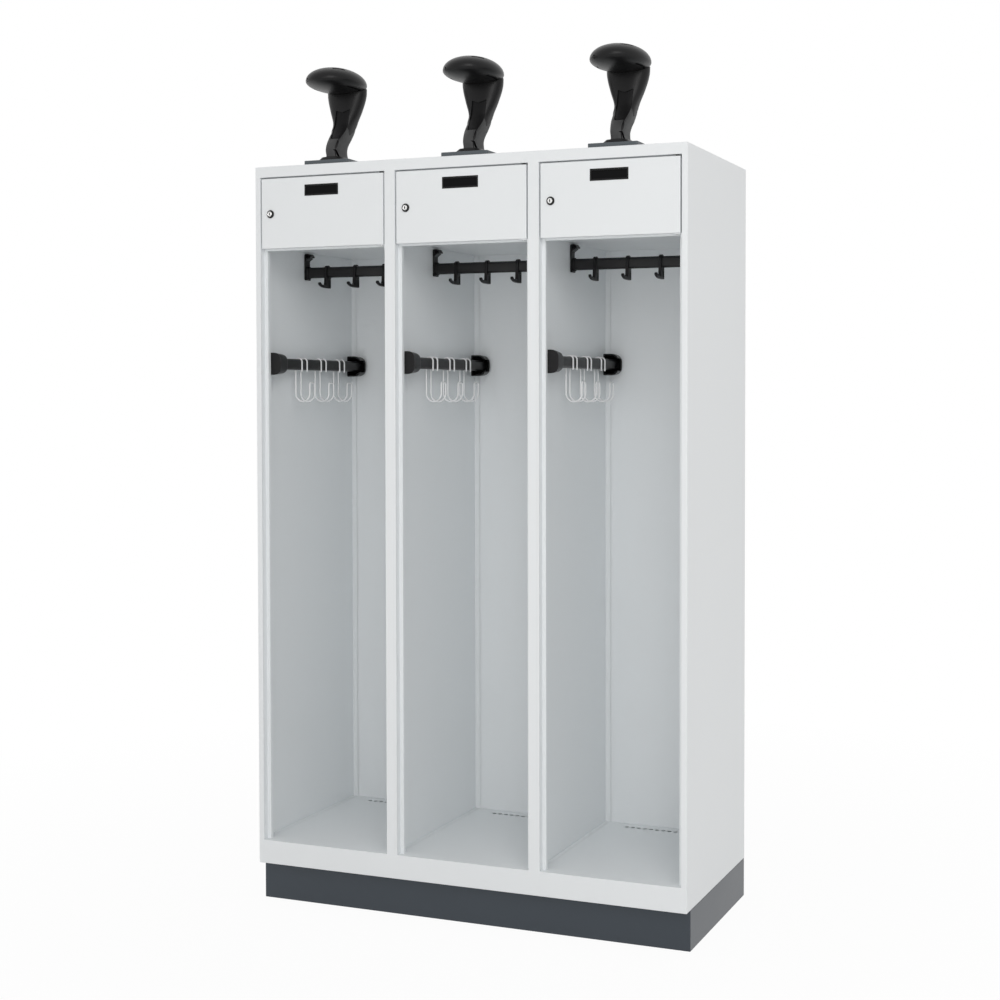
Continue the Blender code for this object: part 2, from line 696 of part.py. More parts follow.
def slot_cutter(name, place):
    """The opening in the side of a rear holder, where the rail is laid in."""
    low = (0, -HOLDER_WALL, -HOLDER_SLOT_HEIGHT / 2)
    high = (2 * HOLDER_MOUTH_RADIUS, HOLDER_SLOT_DEPTH, HOLDER_SLOT_HEIGHT / 2)
    return cutter(f"{name}_slot", box_mesh("slot", (low, high)), place)


def wire_hook_path():
    """Path of a double hook's wire, from one tail over the rail, round the bow and back."""
    over = RAIL_RADIUS + GAP + WIRE_RADIUS
    bow = WIRE_BOW / 2
    low = -WIRE_DROP + WIRE_RADIUS + bow
    half = WIRE_SPREAD / 2
    side = [(over, -RAIL_HEIGHT / 2 - WIRE_TAIL)]
    side += arc((0, RAIL_STRAIGHT), over, 0, 180)
    side += arc((bow - over, low), bow, 180, 360)
    tip = -WIRE_DROP + WIRE_TIP_RISE - WIRE_RADIUS
    reach = WIRE_BOW - over
    corner = WIRE_SPREAD / 4
    near = [(across, -half, up) for across, up in side]
    bridge = [(reach, -half, tip - corner), (reach, -half + corner, tip), (reach, half - corner, tip),
              (reach, half, tip - corner)]
    far = [(across, half, up) for across, up in reversed(side)]
    return near + bridge + far


def wire_hooks():
    """Double wire hooks that slide along the side rails."""
    bent = wire("wire_hook", wire_hook_path(), WIRE_RADIUS)
    for index in range(COMPARTMENTS):
        for hook in range(WIRE_HOOKS):
            x = compartment_line(index) + SIDE_RAIL_FROM_LINE
            y = FRONT + WIRE_HOOK_FIRST + hook * WIRE_HOOK_PITCH
            name = f"wire_hook_{index + 1}{'abc'[hook]}"
            piece = finish(name, bent.copy(), Vector((x, y, SIDE_RAIL_Z)), WIRE_STEEL)
            smooth(piece)


def stem_ring(half_width, front, rear, z):
    """A rounded box seen from above, at a height over the plate, rounder the higher it is."""
    share = FOOT_ROUND_SHARE + (NECK_ROUND_SHARE - FOOT_ROUND_SHARE) * z / NECK_RISE
    points = []
    for side in range(ROUND_SIDES):
        angle = 2 * math.pi * (side + 0.5) / ROUND_SIDES
        across = math.copysign(abs(math.cos(angle)) ** share, math.cos(angle))
        deep = math.copysign(abs(math.sin(angle)) ** share, math.sin(angle))
        points.append((half_width * across, (front + rear) / 2 + (rear - front) / 2 * deep, z))
    return points


def helmet_holders():
    """Plates on the top, leaning stems, and the flattened heads that carry the helmets."""
    half = PLATE_SIZE / 2
    low = (-half, PLATE_FROM_FRONT, GAP)
    high = (half, PLATE_FROM_FRONT + PLATE_SIZE, GAP + PLATE_THICKNESS)
    plate = box_mesh("helmet_plate", (low, high))
    rings = [
        stem_ring(FLANGE_HALF_WIDTH, FLANGE_FRONT, FLANGE_REAR, GAP),
        stem_ring(FOOT_HALF_WIDTH, FOOT_FRONT, FOOT_REAR, FLANGE_RISE),
        stem_ring(SHIN_HALF_WIDTH, SHIN_FRONT, SHIN_REAR, SHIN_RISE),
        stem_ring(KNEE_HALF_WIDTH, KNEE_FRONT, KNEE_REAR, KNEE_RISE),
        stem_ring(THIGH_HALF_WIDTH, THIGH_FRONT, THIGH_REAR, THIGH_RISE),
        stem_ring(WAIST_HALF_WIDTH, WAIST_FRONT, WAIST_REAR, WAIST_RISE),
        stem_ring(RIB_HALF_WIDTH, RIB_FRONT, RIB_REAR, RIB_RISE),
        stem_ring(CHEST_HALF_WIDTH, CHEST_FRONT, CHEST_REAR, CHEST_RISE),
        stem_ring(SHOULDER_HALF_WIDTH, SHOULDER_FRONT, SHOULDER_REAR, SHOULDER_RISE),
        stem_ring(NECK_HALF_WIDTH, NECK_FRONT, NECK_REAR, NECK_RISE),
    ]
    stem_mesh = mesh_from("helmet_stem", lambda made: add_loft(made, rings))
    for index in range(COMPARTMENTS):
        x = compartment_line(index) + PITCH / 2
        finish(f"helmet_plate_{index + 1}", plate.copy(), Vector((x, FRONT, TOP)), PLATE_PAINT)
        stem = finish(f"helmet_stem_{index + 1}", stem_mesh.copy(), Vector((x, FRONT, PLATE_TOP)), PLASTIC)
        name = f"helmet_head_{index + 1}"
        centre = Vector((x, FRONT + HEAD_FROM_FRONT, PLATE_TOP + HEAD_RISE))
        head = finish(name, head_mesh(name, 0.0), centre, PLASTIC)
        smooth(head)
        shape_with(stem, cutter(f"helmet_seat_{index + 1}", head_mesh("seat", GAP), centre), "DIFFERENCE")
        smooth(stem)


def head_mesh(name, grow):
    """A flattened ball with a domed top and a shallower underside, grown all round by an amount."""
    def build(made):
        size = Vector((HEAD_HALF_WIDTH + grow, HEAD_HALF_DEPTH + grow, 1.0))
        bmesh.ops.create_uvsphere(made, u_segments=HEAD_SIDES, v_segments=HEAD_RINGS, radius=1.0,
                                  matrix=Matrix.Diagonal((*size, 1.0)))
        for vert in made.verts:
            height = HEAD_UPPER_HEIGHT if vert.co.z > 0 else HEAD_LOWER_HEIGHT
            vert.co.z *= height + grow
    return mesh_from(name, build)


for old in list(bpy.data.objects):
    bpy.data.objects.remove(old)

LOCKER = new_collection("firefighter_gear_locker")
CUTTERS = new_collection("cutters")
PAINT = material("light_grey_paint", (0.69, 0.71, 0.73), 0.45)
PLINTH_PAINT = material("slate_grey_paint", (0.052, 0.065, 0.082), 0.5)
PLATE_PAINT = material("plate_grey_paint", (0.075, 0.09, 0.1), 0.5)
PLASTIC = material("black_plastic", (0.018, 0.018, 0.019), 0.4)
BLACK_METAL = material("black_rail", (0.02, 0.02, 0.02), 0.45, 0.3)
WIRE_STEEL = material("pale_wire", (0.65, 0.67, 0.68), 0.3, 0.4)
CHROME = material("lock_chrome", (0.6, 0.6, 0.6), 0.2, 1.0)

carcass_sheets()
front_frame()
plinth()
for number in range(COMPARTMENTS):
    box_floor(number)
    door(number)
coat_rails()
coat_hooks()
side_rails()
wire_hooks()
helmet_holders()
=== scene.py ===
"""Firefighter gear locker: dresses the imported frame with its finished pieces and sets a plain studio."""

import math
from collections import namedtuple

import bmesh
import bpy
from bpy.props import FloatProperty, FloatVectorProperty, PointerProperty
from mathutils import Matrix, Vector


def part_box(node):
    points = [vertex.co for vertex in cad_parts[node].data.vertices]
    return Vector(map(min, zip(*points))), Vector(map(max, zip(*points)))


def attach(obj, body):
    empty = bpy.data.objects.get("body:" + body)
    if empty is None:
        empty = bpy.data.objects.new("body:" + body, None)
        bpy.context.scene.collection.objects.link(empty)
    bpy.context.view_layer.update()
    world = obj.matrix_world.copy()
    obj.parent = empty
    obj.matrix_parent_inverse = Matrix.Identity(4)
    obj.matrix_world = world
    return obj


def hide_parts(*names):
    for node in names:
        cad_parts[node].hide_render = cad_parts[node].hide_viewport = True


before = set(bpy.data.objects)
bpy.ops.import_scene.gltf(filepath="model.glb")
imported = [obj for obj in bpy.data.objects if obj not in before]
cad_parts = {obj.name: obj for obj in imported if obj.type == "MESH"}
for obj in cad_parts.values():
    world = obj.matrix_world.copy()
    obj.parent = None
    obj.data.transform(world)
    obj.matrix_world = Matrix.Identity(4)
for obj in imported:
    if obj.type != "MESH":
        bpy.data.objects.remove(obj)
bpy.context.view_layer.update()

bl_info = {
    "name": "Firefighter gear locker",
    "version": (1, 0, 0),
    "blender": (4, 5, 0),
    "location": "3D View > Sidebar > Locker",
    "description": "Builds the finished pieces, paints and studio of a three-bay gear locker",
    "category": "Object",
}

# Places read from the frame
BODY_LOW, BODY_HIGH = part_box("front_frame")
LEFT, FRONT, BASE = BODY_LOW
RIGHT, FRAME_REAR, TOP = BODY_HIGH
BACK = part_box("side_panel_right")[1].y
WALL_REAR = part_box("divider_panel_1")[1].y
FLOOR_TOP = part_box("floor_panel")[1].z
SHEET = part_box("top_panel")[1].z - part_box("top_panel")[0].z
BAYS = (1, 2, 3)
BAY_WIDTH = (RIGHT - LEFT) / len(BAYS)
HOOKS = "abc"
DOOR_LOW, DOOR_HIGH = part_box("door_1")
DOOR_GAP = 0.004
STILE = DOOR_LOW.x - LEFT - DOOR_GAP
OPENING_TOP = DOOR_HIGH.z + DOOR_GAP
CLEAR = 0.0003

# Shading, agreement of places, and curve steps
SHARP_ANGLE = math.radians(35)
AGREE = 1e-5
WELD = 1e-7
EDGE_STEPS = 3
TURN_STEPS = 32
BORE_STEPS = 24
PIN_STEPS = 20

# Oval rails
RAIL_RADIUS = 0.0075
RAIL_STRAIGHT = 0.0075
RAIL_WALL = 0.0015
RAIL_FIT = RAIL_RADIUS + CLEAR


class LockerSizes(bpy.types.PropertyGroup):
    """Sizes that the frame leaves open."""

    body_edge: FloatProperty(
        name="Body edge", description="Radius of the carcass's outer edges",
        default=0.0016, min=0.0002, unit="LENGTH")
    opening_edge: FloatProperty(
        name="Opening edge", description="Radius of the edges round the three openings",
        default=0.0009, min=0.0002, unit="LENGTH")
    stop_depth: FloatProperty(
        name="Stop depth", description="How far the door stop lies behind the front",
        default=0.019, min=0.005, unit="LENGTH")
    stop_width: FloatProperty(
        name="Stop width", description="How far the door stop reaches into the opening",
        default=0.010, min=0.002, unit="LENGTH")
    door_edge: FloatProperty(
        name="Door edge", description="Radius of the door pans' folded edges",
        default=0.0014, min=0.0002, unit="LENGTH")
    door_return: FloatProperty(
        name="Door return", description="Width of the flange folded inward behind each door",
        default=0.009, min=0.002, unit="LENGTH")


class LockerColours(bpy.types.PropertyGroup):
    """Colours of the finishes, as linear values."""

    paint: FloatVectorProperty(
        name="Light grey paint", description="Powder coat of the carcass and doors",
        default=(0.835, 0.866, 0.882), subtype="COLOR", min=0.0, max=1.0)
    plinth: FloatVectorProperty(
        name="Slate grey paint", description="Powder coat of the plinth",
        default=(0.038, 0.049, 0.062), subtype="COLOR", min=0.0, max=1.0)
    plate: FloatVectorProperty(
        name="Plate grey paint", description="Powder coat of the helmet holders' plates",
        default=(0.075, 0.09, 0.1), subtype="COLOR", min=0.0, max=1.0)
    plastic: FloatVectorProperty(
        name="Black plastic", description="Moulded plastic of hooks, brackets and helmet holders",
        default=(0.007, 0.007, 0.0075), subtype="COLOR", min=0.0, max=1.0)
    # Painted light: paler than the black plastic, standing in for the light that the stems' side facets and
    # lower fronts catch.
    painted_light_facet: FloatVectorProperty(
        name="Grained plastic", description="Coarser, paler faces of the helmet holders' stems",
        default=(0.042, 0.043, 0.044), subtype="COLOR", min=0.0, max=1.0)
    # Also painted into the chrome plugs' keyholes as painted shade.
    sunk: FloatVectorProperty(
        name="Dull plastic", description="Sunk lines and holes, and blank name cards",
        default=(0.006, 0.006, 0.0065), subtype="COLOR", min=0.0, max=1.0)
    rail: FloatVectorProperty(
        name="Black rail", description="Coating of the oval rail tubes",
        default=(0.011, 0.011, 0.0115), subtype="COLOR", min=0.0, max=1.0)
    wire: FloatVectorProperty(
        name="Pale wire", description="Coating of the wire hooks",
        default=(0.86, 0.87, 0.88), subtype="COLOR", min=0.0, max=1.0)
    chrome: FloatVectorProperty(
        name="Lock chrome", description="Plating of the locks, hinge pins and screws",
        default=(0.9, 0.9, 0.89), subtype="COLOR", min=0.0, max=1.0)


class LockerStudio(bpy.types.PropertyGroup):
    """Light and camera of the studio."""

    sky_front: FloatProperty(
        name="Sky in front", description="Strength of the sky in front of the locker",
        default=0.60, min=0.0)
    sky_behind: FloatProperty(
        name="Sky behind", description="Strength of the sky behind the locker",
        default=0.66, min=0.0)
    key_strength: FloatProperty(
        name="Key light", description="Power of the large lamp in front",
        default=31.5, min=0.0, unit="POWER")
    light: FloatVectorProperty(
        name="Light", description="Colour of the sky and the lamps",
        default=(1.0, 0.985, 0.975), subtype="COLOR", min=0.0, max=1.0)
    lens: FloatProperty(
        name="Lens", description="Focal length of the camera in millimetres",
        default=57.1, min=10.0)
    camera_place: FloatVectorProperty(
        name="Camera place", description="Where the camera stands",
        default=(1.7695, -3.8418, 1.3455), subtype="TRANSLATION")
    camera_turn: FloatVectorProperty(
        name="Camera turn", description="Tilt, roll and turn of the camera",
        default=(math.radians(88.39), 0.0, math.radians(20.9)), subtype="EULER")
    camera_shift: FloatVectorProperty(
        name="Camera shift", description="Shift of the picture across and up",
        default=(-0.107, -0.059), size=2)


# Meshes


def add_box(made, low, high):
    """Adds a box between two corners."""
    low = Vector(low)
    high = Vector(high)
    spot = Matrix.Translation((low + high) / 2) @ Matrix.Diagonal((*(high - low), 1.0))
    bmesh.ops.create_cube(made, size=1.0, matrix=spot)


def add_loft(made, rings, closed=True):
    """Adds faces through rings with equal numbers of points, capped at both ends if closed."""
    rows = [[made.verts.new(point) for point in ring] for ring in rings]
    count = len(rows[0])
    for near_row, far_row in zip(rows, rows[1:]):
        for i in range(count):
            j = (i + 1) % count
            made.faces.new((near_row[i], near_row[j], far_row[j], far_row[i]))
    if closed:
        made.faces.new(rows[0])
        made.faces.new(rows[-1])
    else:
        bmesh.ops.remove_doubles(made, verts=made.verts, dist=WELD)


def add_tube(made, outer, inner):
    """Adds a hollow body between two outlines, each given at both of its ends."""
    add_loft(made, [outer[0], outer[1], inner[1], inner[0], outer[0]], closed=False)


def add_turned(made, profile, centre, axis="Y", steps=TURN_STEPS, loop=False):
    """Adds a body turned round an axis from (radius, along) points, as a ring if it loops."""
    turn = {"Y": Matrix.Rotation(-math.pi / 2, 4, "X"), "Z": Matrix.Identity(4)}[axis]
    place = Matrix.Translation(Vector(centre)) @ turn
    rings = []
    for radius, along in profile:
        rings.append([place @ Vector((radius * math.cos(angle), radius * math.sin(angle), along))
                      for angle in (2 * math.pi * step / steps for step in range(steps))])
    add_loft(made, rings + rings[:1] if loop else rings, closed=not loop)


def add_sheet_block(made, front, back):
    """Adds the body between two grids of points, each a list of rows."""
    grids = [[[made.verts.new(point) for point in row] for row in grid] for grid in (front, back)]
    rows = len(front)
    count = len(front[0])
    for grid in grids:
        for i in range(rows - 1):
            for j in range(count - 1):
                made.faces.new((grid[i][j], grid[i][j + 1], grid[i + 1][j + 1], grid[i + 1][j]))
    rim = [(i, 0) for i in range(rows)] + [(rows - 1, j) for j in range(1, count)]
    rim += [(i, count - 1) for i in range(rows - 2, -1, -1)] + [(0, j) for j in range(count - 2, 0, -1)]
    for (i, j), (k, m) in zip(rim, rim[1:] + rim[:1]):
        made.faces.new((grids[0][i][j], grids[0][k][m], grids[1][k][m], grids[1][i][j]))


def new_mesh(name, build):
    """A mesh that a function fills, with its faces turned outward."""
    made = bmesh.new()
    build(made)
    bmesh.ops.recalc_face_normals(made, faces=made.faces)
    mesh = bpy.data.meshes.new(name)
    made.to_mesh(mesh)
    made.free()
    return mesh


def box_mesh(name, low, high):
    """A mesh of one box."""
    return new_mesh(name, lambda made: add_box(made, low, high))


def loft_mesh(name, rings):
    """A mesh of one closed loft."""
    return new_mesh(name, lambda made: add_loft(made, rings))


def turned_mesh(name, profile, centre, axis="Y", steps=TURN_STEPS, loop=False):
    """A mesh of one turned body."""
    return new_mesh(name, lambda made: add_turned(made, profile, centre, axis, steps, loop))


def stadium(radius, straight=RAIL_STRAIGHT, steps=12, left=1.0, right=1.0):
    """Points of an upright oval with straight sides, each side squarer if it is less round."""
    points = []
    for side, start in ((1, 0.0), (-1, math.pi)):
        for step in range(steps + 1):
            angle = start + math.pi * step / steps
            roundness = right if math.cos(angle) > 0 else left
            across, up = (math.copysign(abs(share) ** roundness, share)
                          for share in (math.cos(angle), math.sin(angle)))
            points.append((radius * across, radius * up + side * straight))
    return points


def arc(centre, radius, start, end, steps):
    """Points of an arc in a plane, from one angle to another in degrees."""
    turns = (math.radians(start + (end - start) * step / steps) for step in range(steps + 1))
    return [(centre[0] + radius * math.cos(turn), centre[1] + radius * math.sin(turn)) for turn in turns]


def rings_across(centre, *sections):
    """Outlines in the side view, each with its place across the locker, round a centre."""
    return [[(centre.x + x, centre.y + y, centre.z + z) for y, z in outline] for x, outline in sections]


def rings_deep(centre, *sections):
    """Outlines in the front view, each with its depth in the locker, round a centre."""
    return [[(centre.x + x, centre.y + y, centre.z + z) for x, z in outline] for y, outline in sections]


# Pieces


def new_piece(name, mesh, paint):
    """A piece of the locker in the scene."""
    piece = bpy.data.objects.new(name, mesh)
    bpy.context.scene.collection.objects.link(piece)
    mesh.materials.append(PAINTS[paint])
    return piece


def bake(piece):
    """Keeps the shape that a piece's modifiers give."""
    graph = bpy.context.evaluated_depsgraph_get()
    mesh = bpy.data.meshes.new_from_object(piece.evaluated_get(graph), preserve_all_data_layers=True,
                                           depsgraph=graph)
    old = piece.data
    piece.modifiers.clear()
    piece.data = mesh
    mesh.name = piece.name
    bpy.data.meshes.remove(old)


def shape(piece, mesh, operation="DIFFERENCE"):
    """Cuts a mesh out of a piece, or joins it on."""
    tool = bpy.data.objects.new("tool", mesh)
    bpy.context.scene.collection.objects.link(tool)
    change = piece.modifiers.new("shape", "BOOLEAN")
    change.operation = operation
    change.solver = "EXACT"
    change.object = tool
    if mesh.materials:
        change.material_mode = "TRANSFER"
    bake(piece)
    bpy.data.objects.remove(tool)
    bpy.data.meshes.remove(mesh)


def skin_cut(piece, blocks, core, paint):
    """Cuts blocks into a piece, down to the surface of a slightly smaller core, and paints the cut."""
    tool = new_piece("skin_tool", new_mesh("blocks", blocks), paint)
    shape(tool, new_mesh("core", core))
    mesh = tool.data
    bpy.data.objects.remove(tool)
    shape(piece, mesh)


def round_edges(piece, width, choose, steps=EDGE_STEPS):
    """Rounds the sharp edges of a piece that a test of their two ends picks."""
    made = bmesh.new()
    made.from_mesh(piece.data)
    picked = [edge for edge in made.edges
              if len(edge.link_faces) == 2 and edge.calc_face_angle() > SHARP_ANGLE
              and choose(edge.verts[0].co, edge.verts[1].co)]
    bmesh.ops.bevel(made, geom=picked, offset=width, segments=steps, profile=0.5, affect="EDGES",
                    clamp_overlap=True)
    made.to_mesh(piece.data)
    made.free()


def near(value, target):
    """Whether two places agree within a hundredth of a millimetre."""
    return abs(value - target) < AGREE


def same(axes):
    """A test for edges whose ends agree on some axes, such as "xy" for upright ones."""
    return lambda a, b: all(near(getattr(a, axis), getattr(b, axis)) for axis in axes)


def even(piece, angle=SHARP_ANGLE):
    """Smooth shading that keeps the flat faces flat."""
    piece.data.shade_smooth()
    piece.data.set_sharp_from_angle(angle=angle)
    change = piece.modifiers.new("even", "WEIGHTED_NORMAL")
    change.keep_sharp = True
    bake(piece)


def settle(piece, body, slot, *nodes):
    """Puts a piece on its body and in the place of the nodes that it stands for; the slot is not used."""
    if nodes:
        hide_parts(*nodes)
    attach(piece, body)


def complete(piece, body, slot, *nodes):
    """Shades a piece that has its final shape and settles it."""
    even(piece)
    settle(piece, body, slot, *nodes)


def plain_piece(name, mesh, paint, body, slot, *nodes):
    """A piece that is a bare mesh, shaded and settled."""
    complete(new_piece(name, mesh, paint), body, slot, *nodes)


def bore(piece, radius, start, reach, axis="Y", steps=TURN_STEPS):
    """Cuts a round hole into a piece, from a point along an axis."""
    shape(piece, turned_mesh("bore", [(radius, 0), (radius, reach)], start, axis, steps))


def bay_line(bay):
    """X of the middle of the wall on the left of a bay."""
    return LEFT + (bay - 1) * BAY_WIDTH


def bay_middle(bay):
    """X of the middle of a bay."""
    return bay_line(bay) + BAY_WIDTH / 2


# Materials

NODE_STEP = 220
NODE_ROW = 12
BUMP_DEPTH = 0.0002
PAINTS = {}

Effect = namedtuple("Effect", "cloud_scale cloud_detail grain grain_height")
EFFECTS = {
    "powder_coat": Effect(3.5, 4.0, "ShaderNodeTexNoise", "Fac"),
    "moulded_grain": Effect(18.0, 5.0, "ShaderNodeTexVoronoi", "Distance"),
}

Finish = namedtuple(
    "Finish", "effect colour patchiness grain_scale roughness gloss_change bump metallic coat specular",
    defaults=(0.0, 0.0, 0.5))
FINISHES = {
    "light_grey_paint": Finish("powder_coat", "paint", patchiness=0.02, grain_scale=650.0, roughness=0.36,
                               gloss_change=0.1, bump=0.12),
    "slate_grey_paint": Finish("powder_coat", "plinth", patchiness=0.12, grain_scale=650.0, roughness=0.3,
                               gloss_change=0.12, bump=0.2, specular=0.4),
    "plate_grey_paint": Finish("powder_coat", "plate", patchiness=0.12, grain_scale=800.0, roughness=0.42,
                               gloss_change=0.12, bump=0.2),
    "black_plastic": Finish("moulded_grain", "plastic", patchiness=0.3, grain_scale=1400.0, roughness=0.34,
                            gloss_change=0.12, bump=0.1, specular=0.22),
    "gloss_plastic": Finish("moulded_grain", "plastic", patchiness=0.2, grain_scale=900.0, roughness=0.24,
                            gloss_change=0.08, bump=0.03, specular=0.3),
    # Painted light: the paler colour stands in for light on the stems' facets and lower fronts; the grain
    # is the moulding's own.
    "grained_plastic_painted_light": Finish("moulded_grain", "painted_light_facet", patchiness=0.5, grain_scale=1100.0, roughness=0.5,
                              gloss_change=0.2, bump=0.2, specular=0.4),
    "matt_plastic": Finish("moulded_grain", "plastic", patchiness=0.3, grain_scale=1400.0, roughness=0.5,
                           gloss_change=0.1, bump=0.1, specular=0.13),
    # Dull dark plastic of the cards and sunk lines, also used as painted shade inside the chrome keyholes.
    "dull_plastic_and_painted_shade": Finish("moulded_grain", "sunk", patchiness=0.3, grain_scale=1400.0, roughness=0.6,
                           gloss_change=0.1, bump=0.1, specular=0.05),
    "black_rail": Finish("powder_coat", "rail", patchiness=0.2, grain_scale=1100.0, roughness=0.34,
                         gloss_change=0.1, bump=0.12, specular=0.3),
    "pale_wire": Finish("powder_coat", "wire", patchiness=0.08, grain_scale=1300.0, roughness=0.3,
                        gloss_change=0.1, bump=0.08, coat=0.2),
    "lock_chrome": Finish("powder_coat", "chrome", patchiness=0.06, grain_scale=2200.0, roughness=0.2,
                          gloss_change=0.12, bump=0.04, metallic=1.0),
}


def feed(tree, made, inputs):
    """Sets inputs of a node to values, or links them to outputs."""
    for label, value in inputs.items():
        if isinstance(value, bpy.types.NodeSocket):
            tree.links.new(value, made.inputs[label])
        else:
            made.inputs[label].default_value = value


def node(tree, kind, inputs, **settings):
    """A node on the right of the last one, with its inputs and its settings."""
    made = tree.nodes.new(kind)
    made.location.x = NODE_STEP * (len(tree.nodes) - NODE_ROW)
    for label, value in settings.items():
        setattr(made, label, value)
    feed(tree, made, inputs)
    return made


def maths(tree, operation, *values):
    """The result of a maths node on values or outputs."""
    return node(tree, "ShaderNodeMath", dict(enumerate(values)), operation=operation).outputs[0]


def rgba(colour):
    """A colour with full alpha."""
    return (*colour, 1.0)


def effect_group(name, effect):
    """A shader node group that clouds a colour and its gloss, and gives fine grain as a height."""
    group = bpy.data.node_groups.new(name, "ShaderNodeTree")
    for side, labels in (("INPUT", ("Colour", "Patchiness", "Grain Scale", "Roughness", "Gloss Change")),
                         ("OUTPUT", ("Colour", "Roughness", "Height"))):
        for label in labels:
            kind = "NodeSocketColor" if label == "Colour" else "NodeSocketFloat"
            group.interface.new_socket(label, in_out=side, socket_type=kind)
    given = node(group, "NodeGroupInput", {}).outputs
    place = node(group, "ShaderNodeTexCoord", {}).outputs["Object"]
    clouds = node(group, "ShaderNodeTexNoise", {"Vector": place, "Scale": effect.cloud_scale,
                                                "Detail": effect.cloud_detail})
    grain = node(group, effect.grain, {"Vector": place, "Scale": given["Grain Scale"]})
    centred = maths(group, "SUBTRACT", clouds.outputs["Fac"], 0.5)
    level = maths(group, "MULTIPLY_ADD", centred, given["Patchiness"], 1.0)
    rough = maths(group, "MULTIPLY_ADD", centred, given["Gloss Change"], given["Roughness"])
    tone = node(group, "ShaderNodeVectorMath", {0: given["Colour"], "Scale": level}, operation="SCALE")
    node(group, "NodeGroupOutput", {"Colour": tone.outputs[0], "Roughness": rough,
                                    "Height": grain.outputs[effect.grain_height]})
    return group


def finish_material(name, group, look, colour):
    """A Principled material whose colour, roughness and bump come from a group."""
    paint = bpy.data.materials.new(name)
    paint.use_nodes = True
    tree = paint.node_tree
    effect = node(tree, "ShaderNodeGroup", {
        "Colour": rgba(colour), "Patchiness": look.patchiness, "Grain Scale": look.grain_scale,
        "Roughness": look.roughness, "Gloss Change": look.gloss_change}, node_tree=group)
    relief = node(tree, "ShaderNodeBump", {
        "Strength": look.bump, "Distance": BUMP_DEPTH, "Height": effect.outputs["Height"]})
    feed(tree, tree.nodes["Principled BSDF"], {
        "Base Color": effect.outputs["Colour"], "Roughness": effect.outputs["Roughness"],
        "Normal": relief.outputs["Normal"], "Metallic": look.metallic, "Coat Weight": look.coat,
        "Specular IOR Level": look.specular})
    return paint


def paint_box(colours):
    """Every finish of the locker, by its slot name or its use."""
    groups = {name: effect_group(name, effect) for name, effect in EFFECTS.items()}
    return {name: finish_material(name, groups[look.effect], look, getattr(colours, look.colour))
            for name, look in FINISHES.items()}


# Carcass, sheets and plinth

FLANGE_WIDTH = 0.0145
FLOOR_FLANGE_WIDTH = 0.011
FLANGE_EDGE = SHEET * 0.4
FLANGE_SETBACK = SHEET * 2.5
VENT_RADIUS = 0.0066
VENT_PITCH = 0.0177
VENT_DEPTH = 0.463
VENT_PLACES = range(-7, 8)
PLINTH_WALL = 0.0015
PLINTH_CORNER = 0.0022
PLINTH_LIP = 0.0005


def carcass_openings(made, sizes):
    """Adds the space of each bay's opening: wide before the stop, narrower between its sides."""
    step = FRONT + sizes.stop_depth
    before = FRONT - SHEET
    behind = FRAME_REAR + SHEET
    ledge = OPENING_TOP - sizes.stop_width
    for bay in BAYS:
        left = bay_line(bay) + STILE
        right = bay_line(bay + 1) - STILE
        inner_left = left + sizes.stop_width
        inner_right = right - sizes.stop_width
        wide = [(left, step), (left, before), (right, before), (right, step)]
        narrow = [(inner_right, step), (inner_right, behind), (inner_left, behind), (inner_left, step)]
        foot = [made.verts.new((x, y, FLOOR_TOP)) for x, y in wide + narrow]
        under = [made.verts.new((x, y, ledge)) for x, y in wide + narrow]
        head = [made.verts.new((x, y, OPENING_TOP)) for x, y in wide]
        for corners in (foot, head, under[4:], (head[3], head[0], under[0], under[7], under[4], under[3])):
            made.faces.new(corners)
        for low, high in ((foot + foot[:1], under + under[:1]), (under[:4], head)):
            for i in range(len(high) - 1):
                made.faces.new((low[i], low[i + 1], high[i + 1], high[i]))


class LOCKER_OT_carcass(bpy.types.Operator):
    """Build the welded body: side sheets, top sheet and the folded front frame"""

    bl_idname = "locker.carcass"
    bl_label = "Carcass"

    def execute(self, context):
        sizes = context.scene.locker_sizes
        mesh = box_mesh("carcass", BODY_LOW, (RIGHT, BACK, TOP))
        body = new_piece("carcass", mesh, "light_grey_paint")
        round_edges(body, sizes.body_edge, lambda a, b: not (near(a.y, BACK) and near(b.y, BACK)))
        shape(body, box_mesh("inside", (LEFT + SHEET, FRAME_REAR, BASE - SHEET),
                             (RIGHT - SHEET, BACK + SHEET, TOP - SHEET)))
        shape(body, new_mesh("openings", lambda made: carcass_openings(made, sizes)))
        round_edges(body, sizes.opening_edge, lambda a, b: self.on_rim(a) and self.on_rim(b), 2)
        complete(body, "carcass", "light_grey_paint", "front_frame", "side_panel_left",
                 "side_panel_right", "top_panel")
        return {"FINISHED"}

    def on_rim(self, point):
        """Whether a point of the front lies inside its outer edges, so on the edge of an opening."""
        return (near(point.y, FRONT) and abs(point.x) < RIGHT - STILE / 2
                and FLOOR_TOP - SHEET < point.z < OPENING_TOP + SHEET)


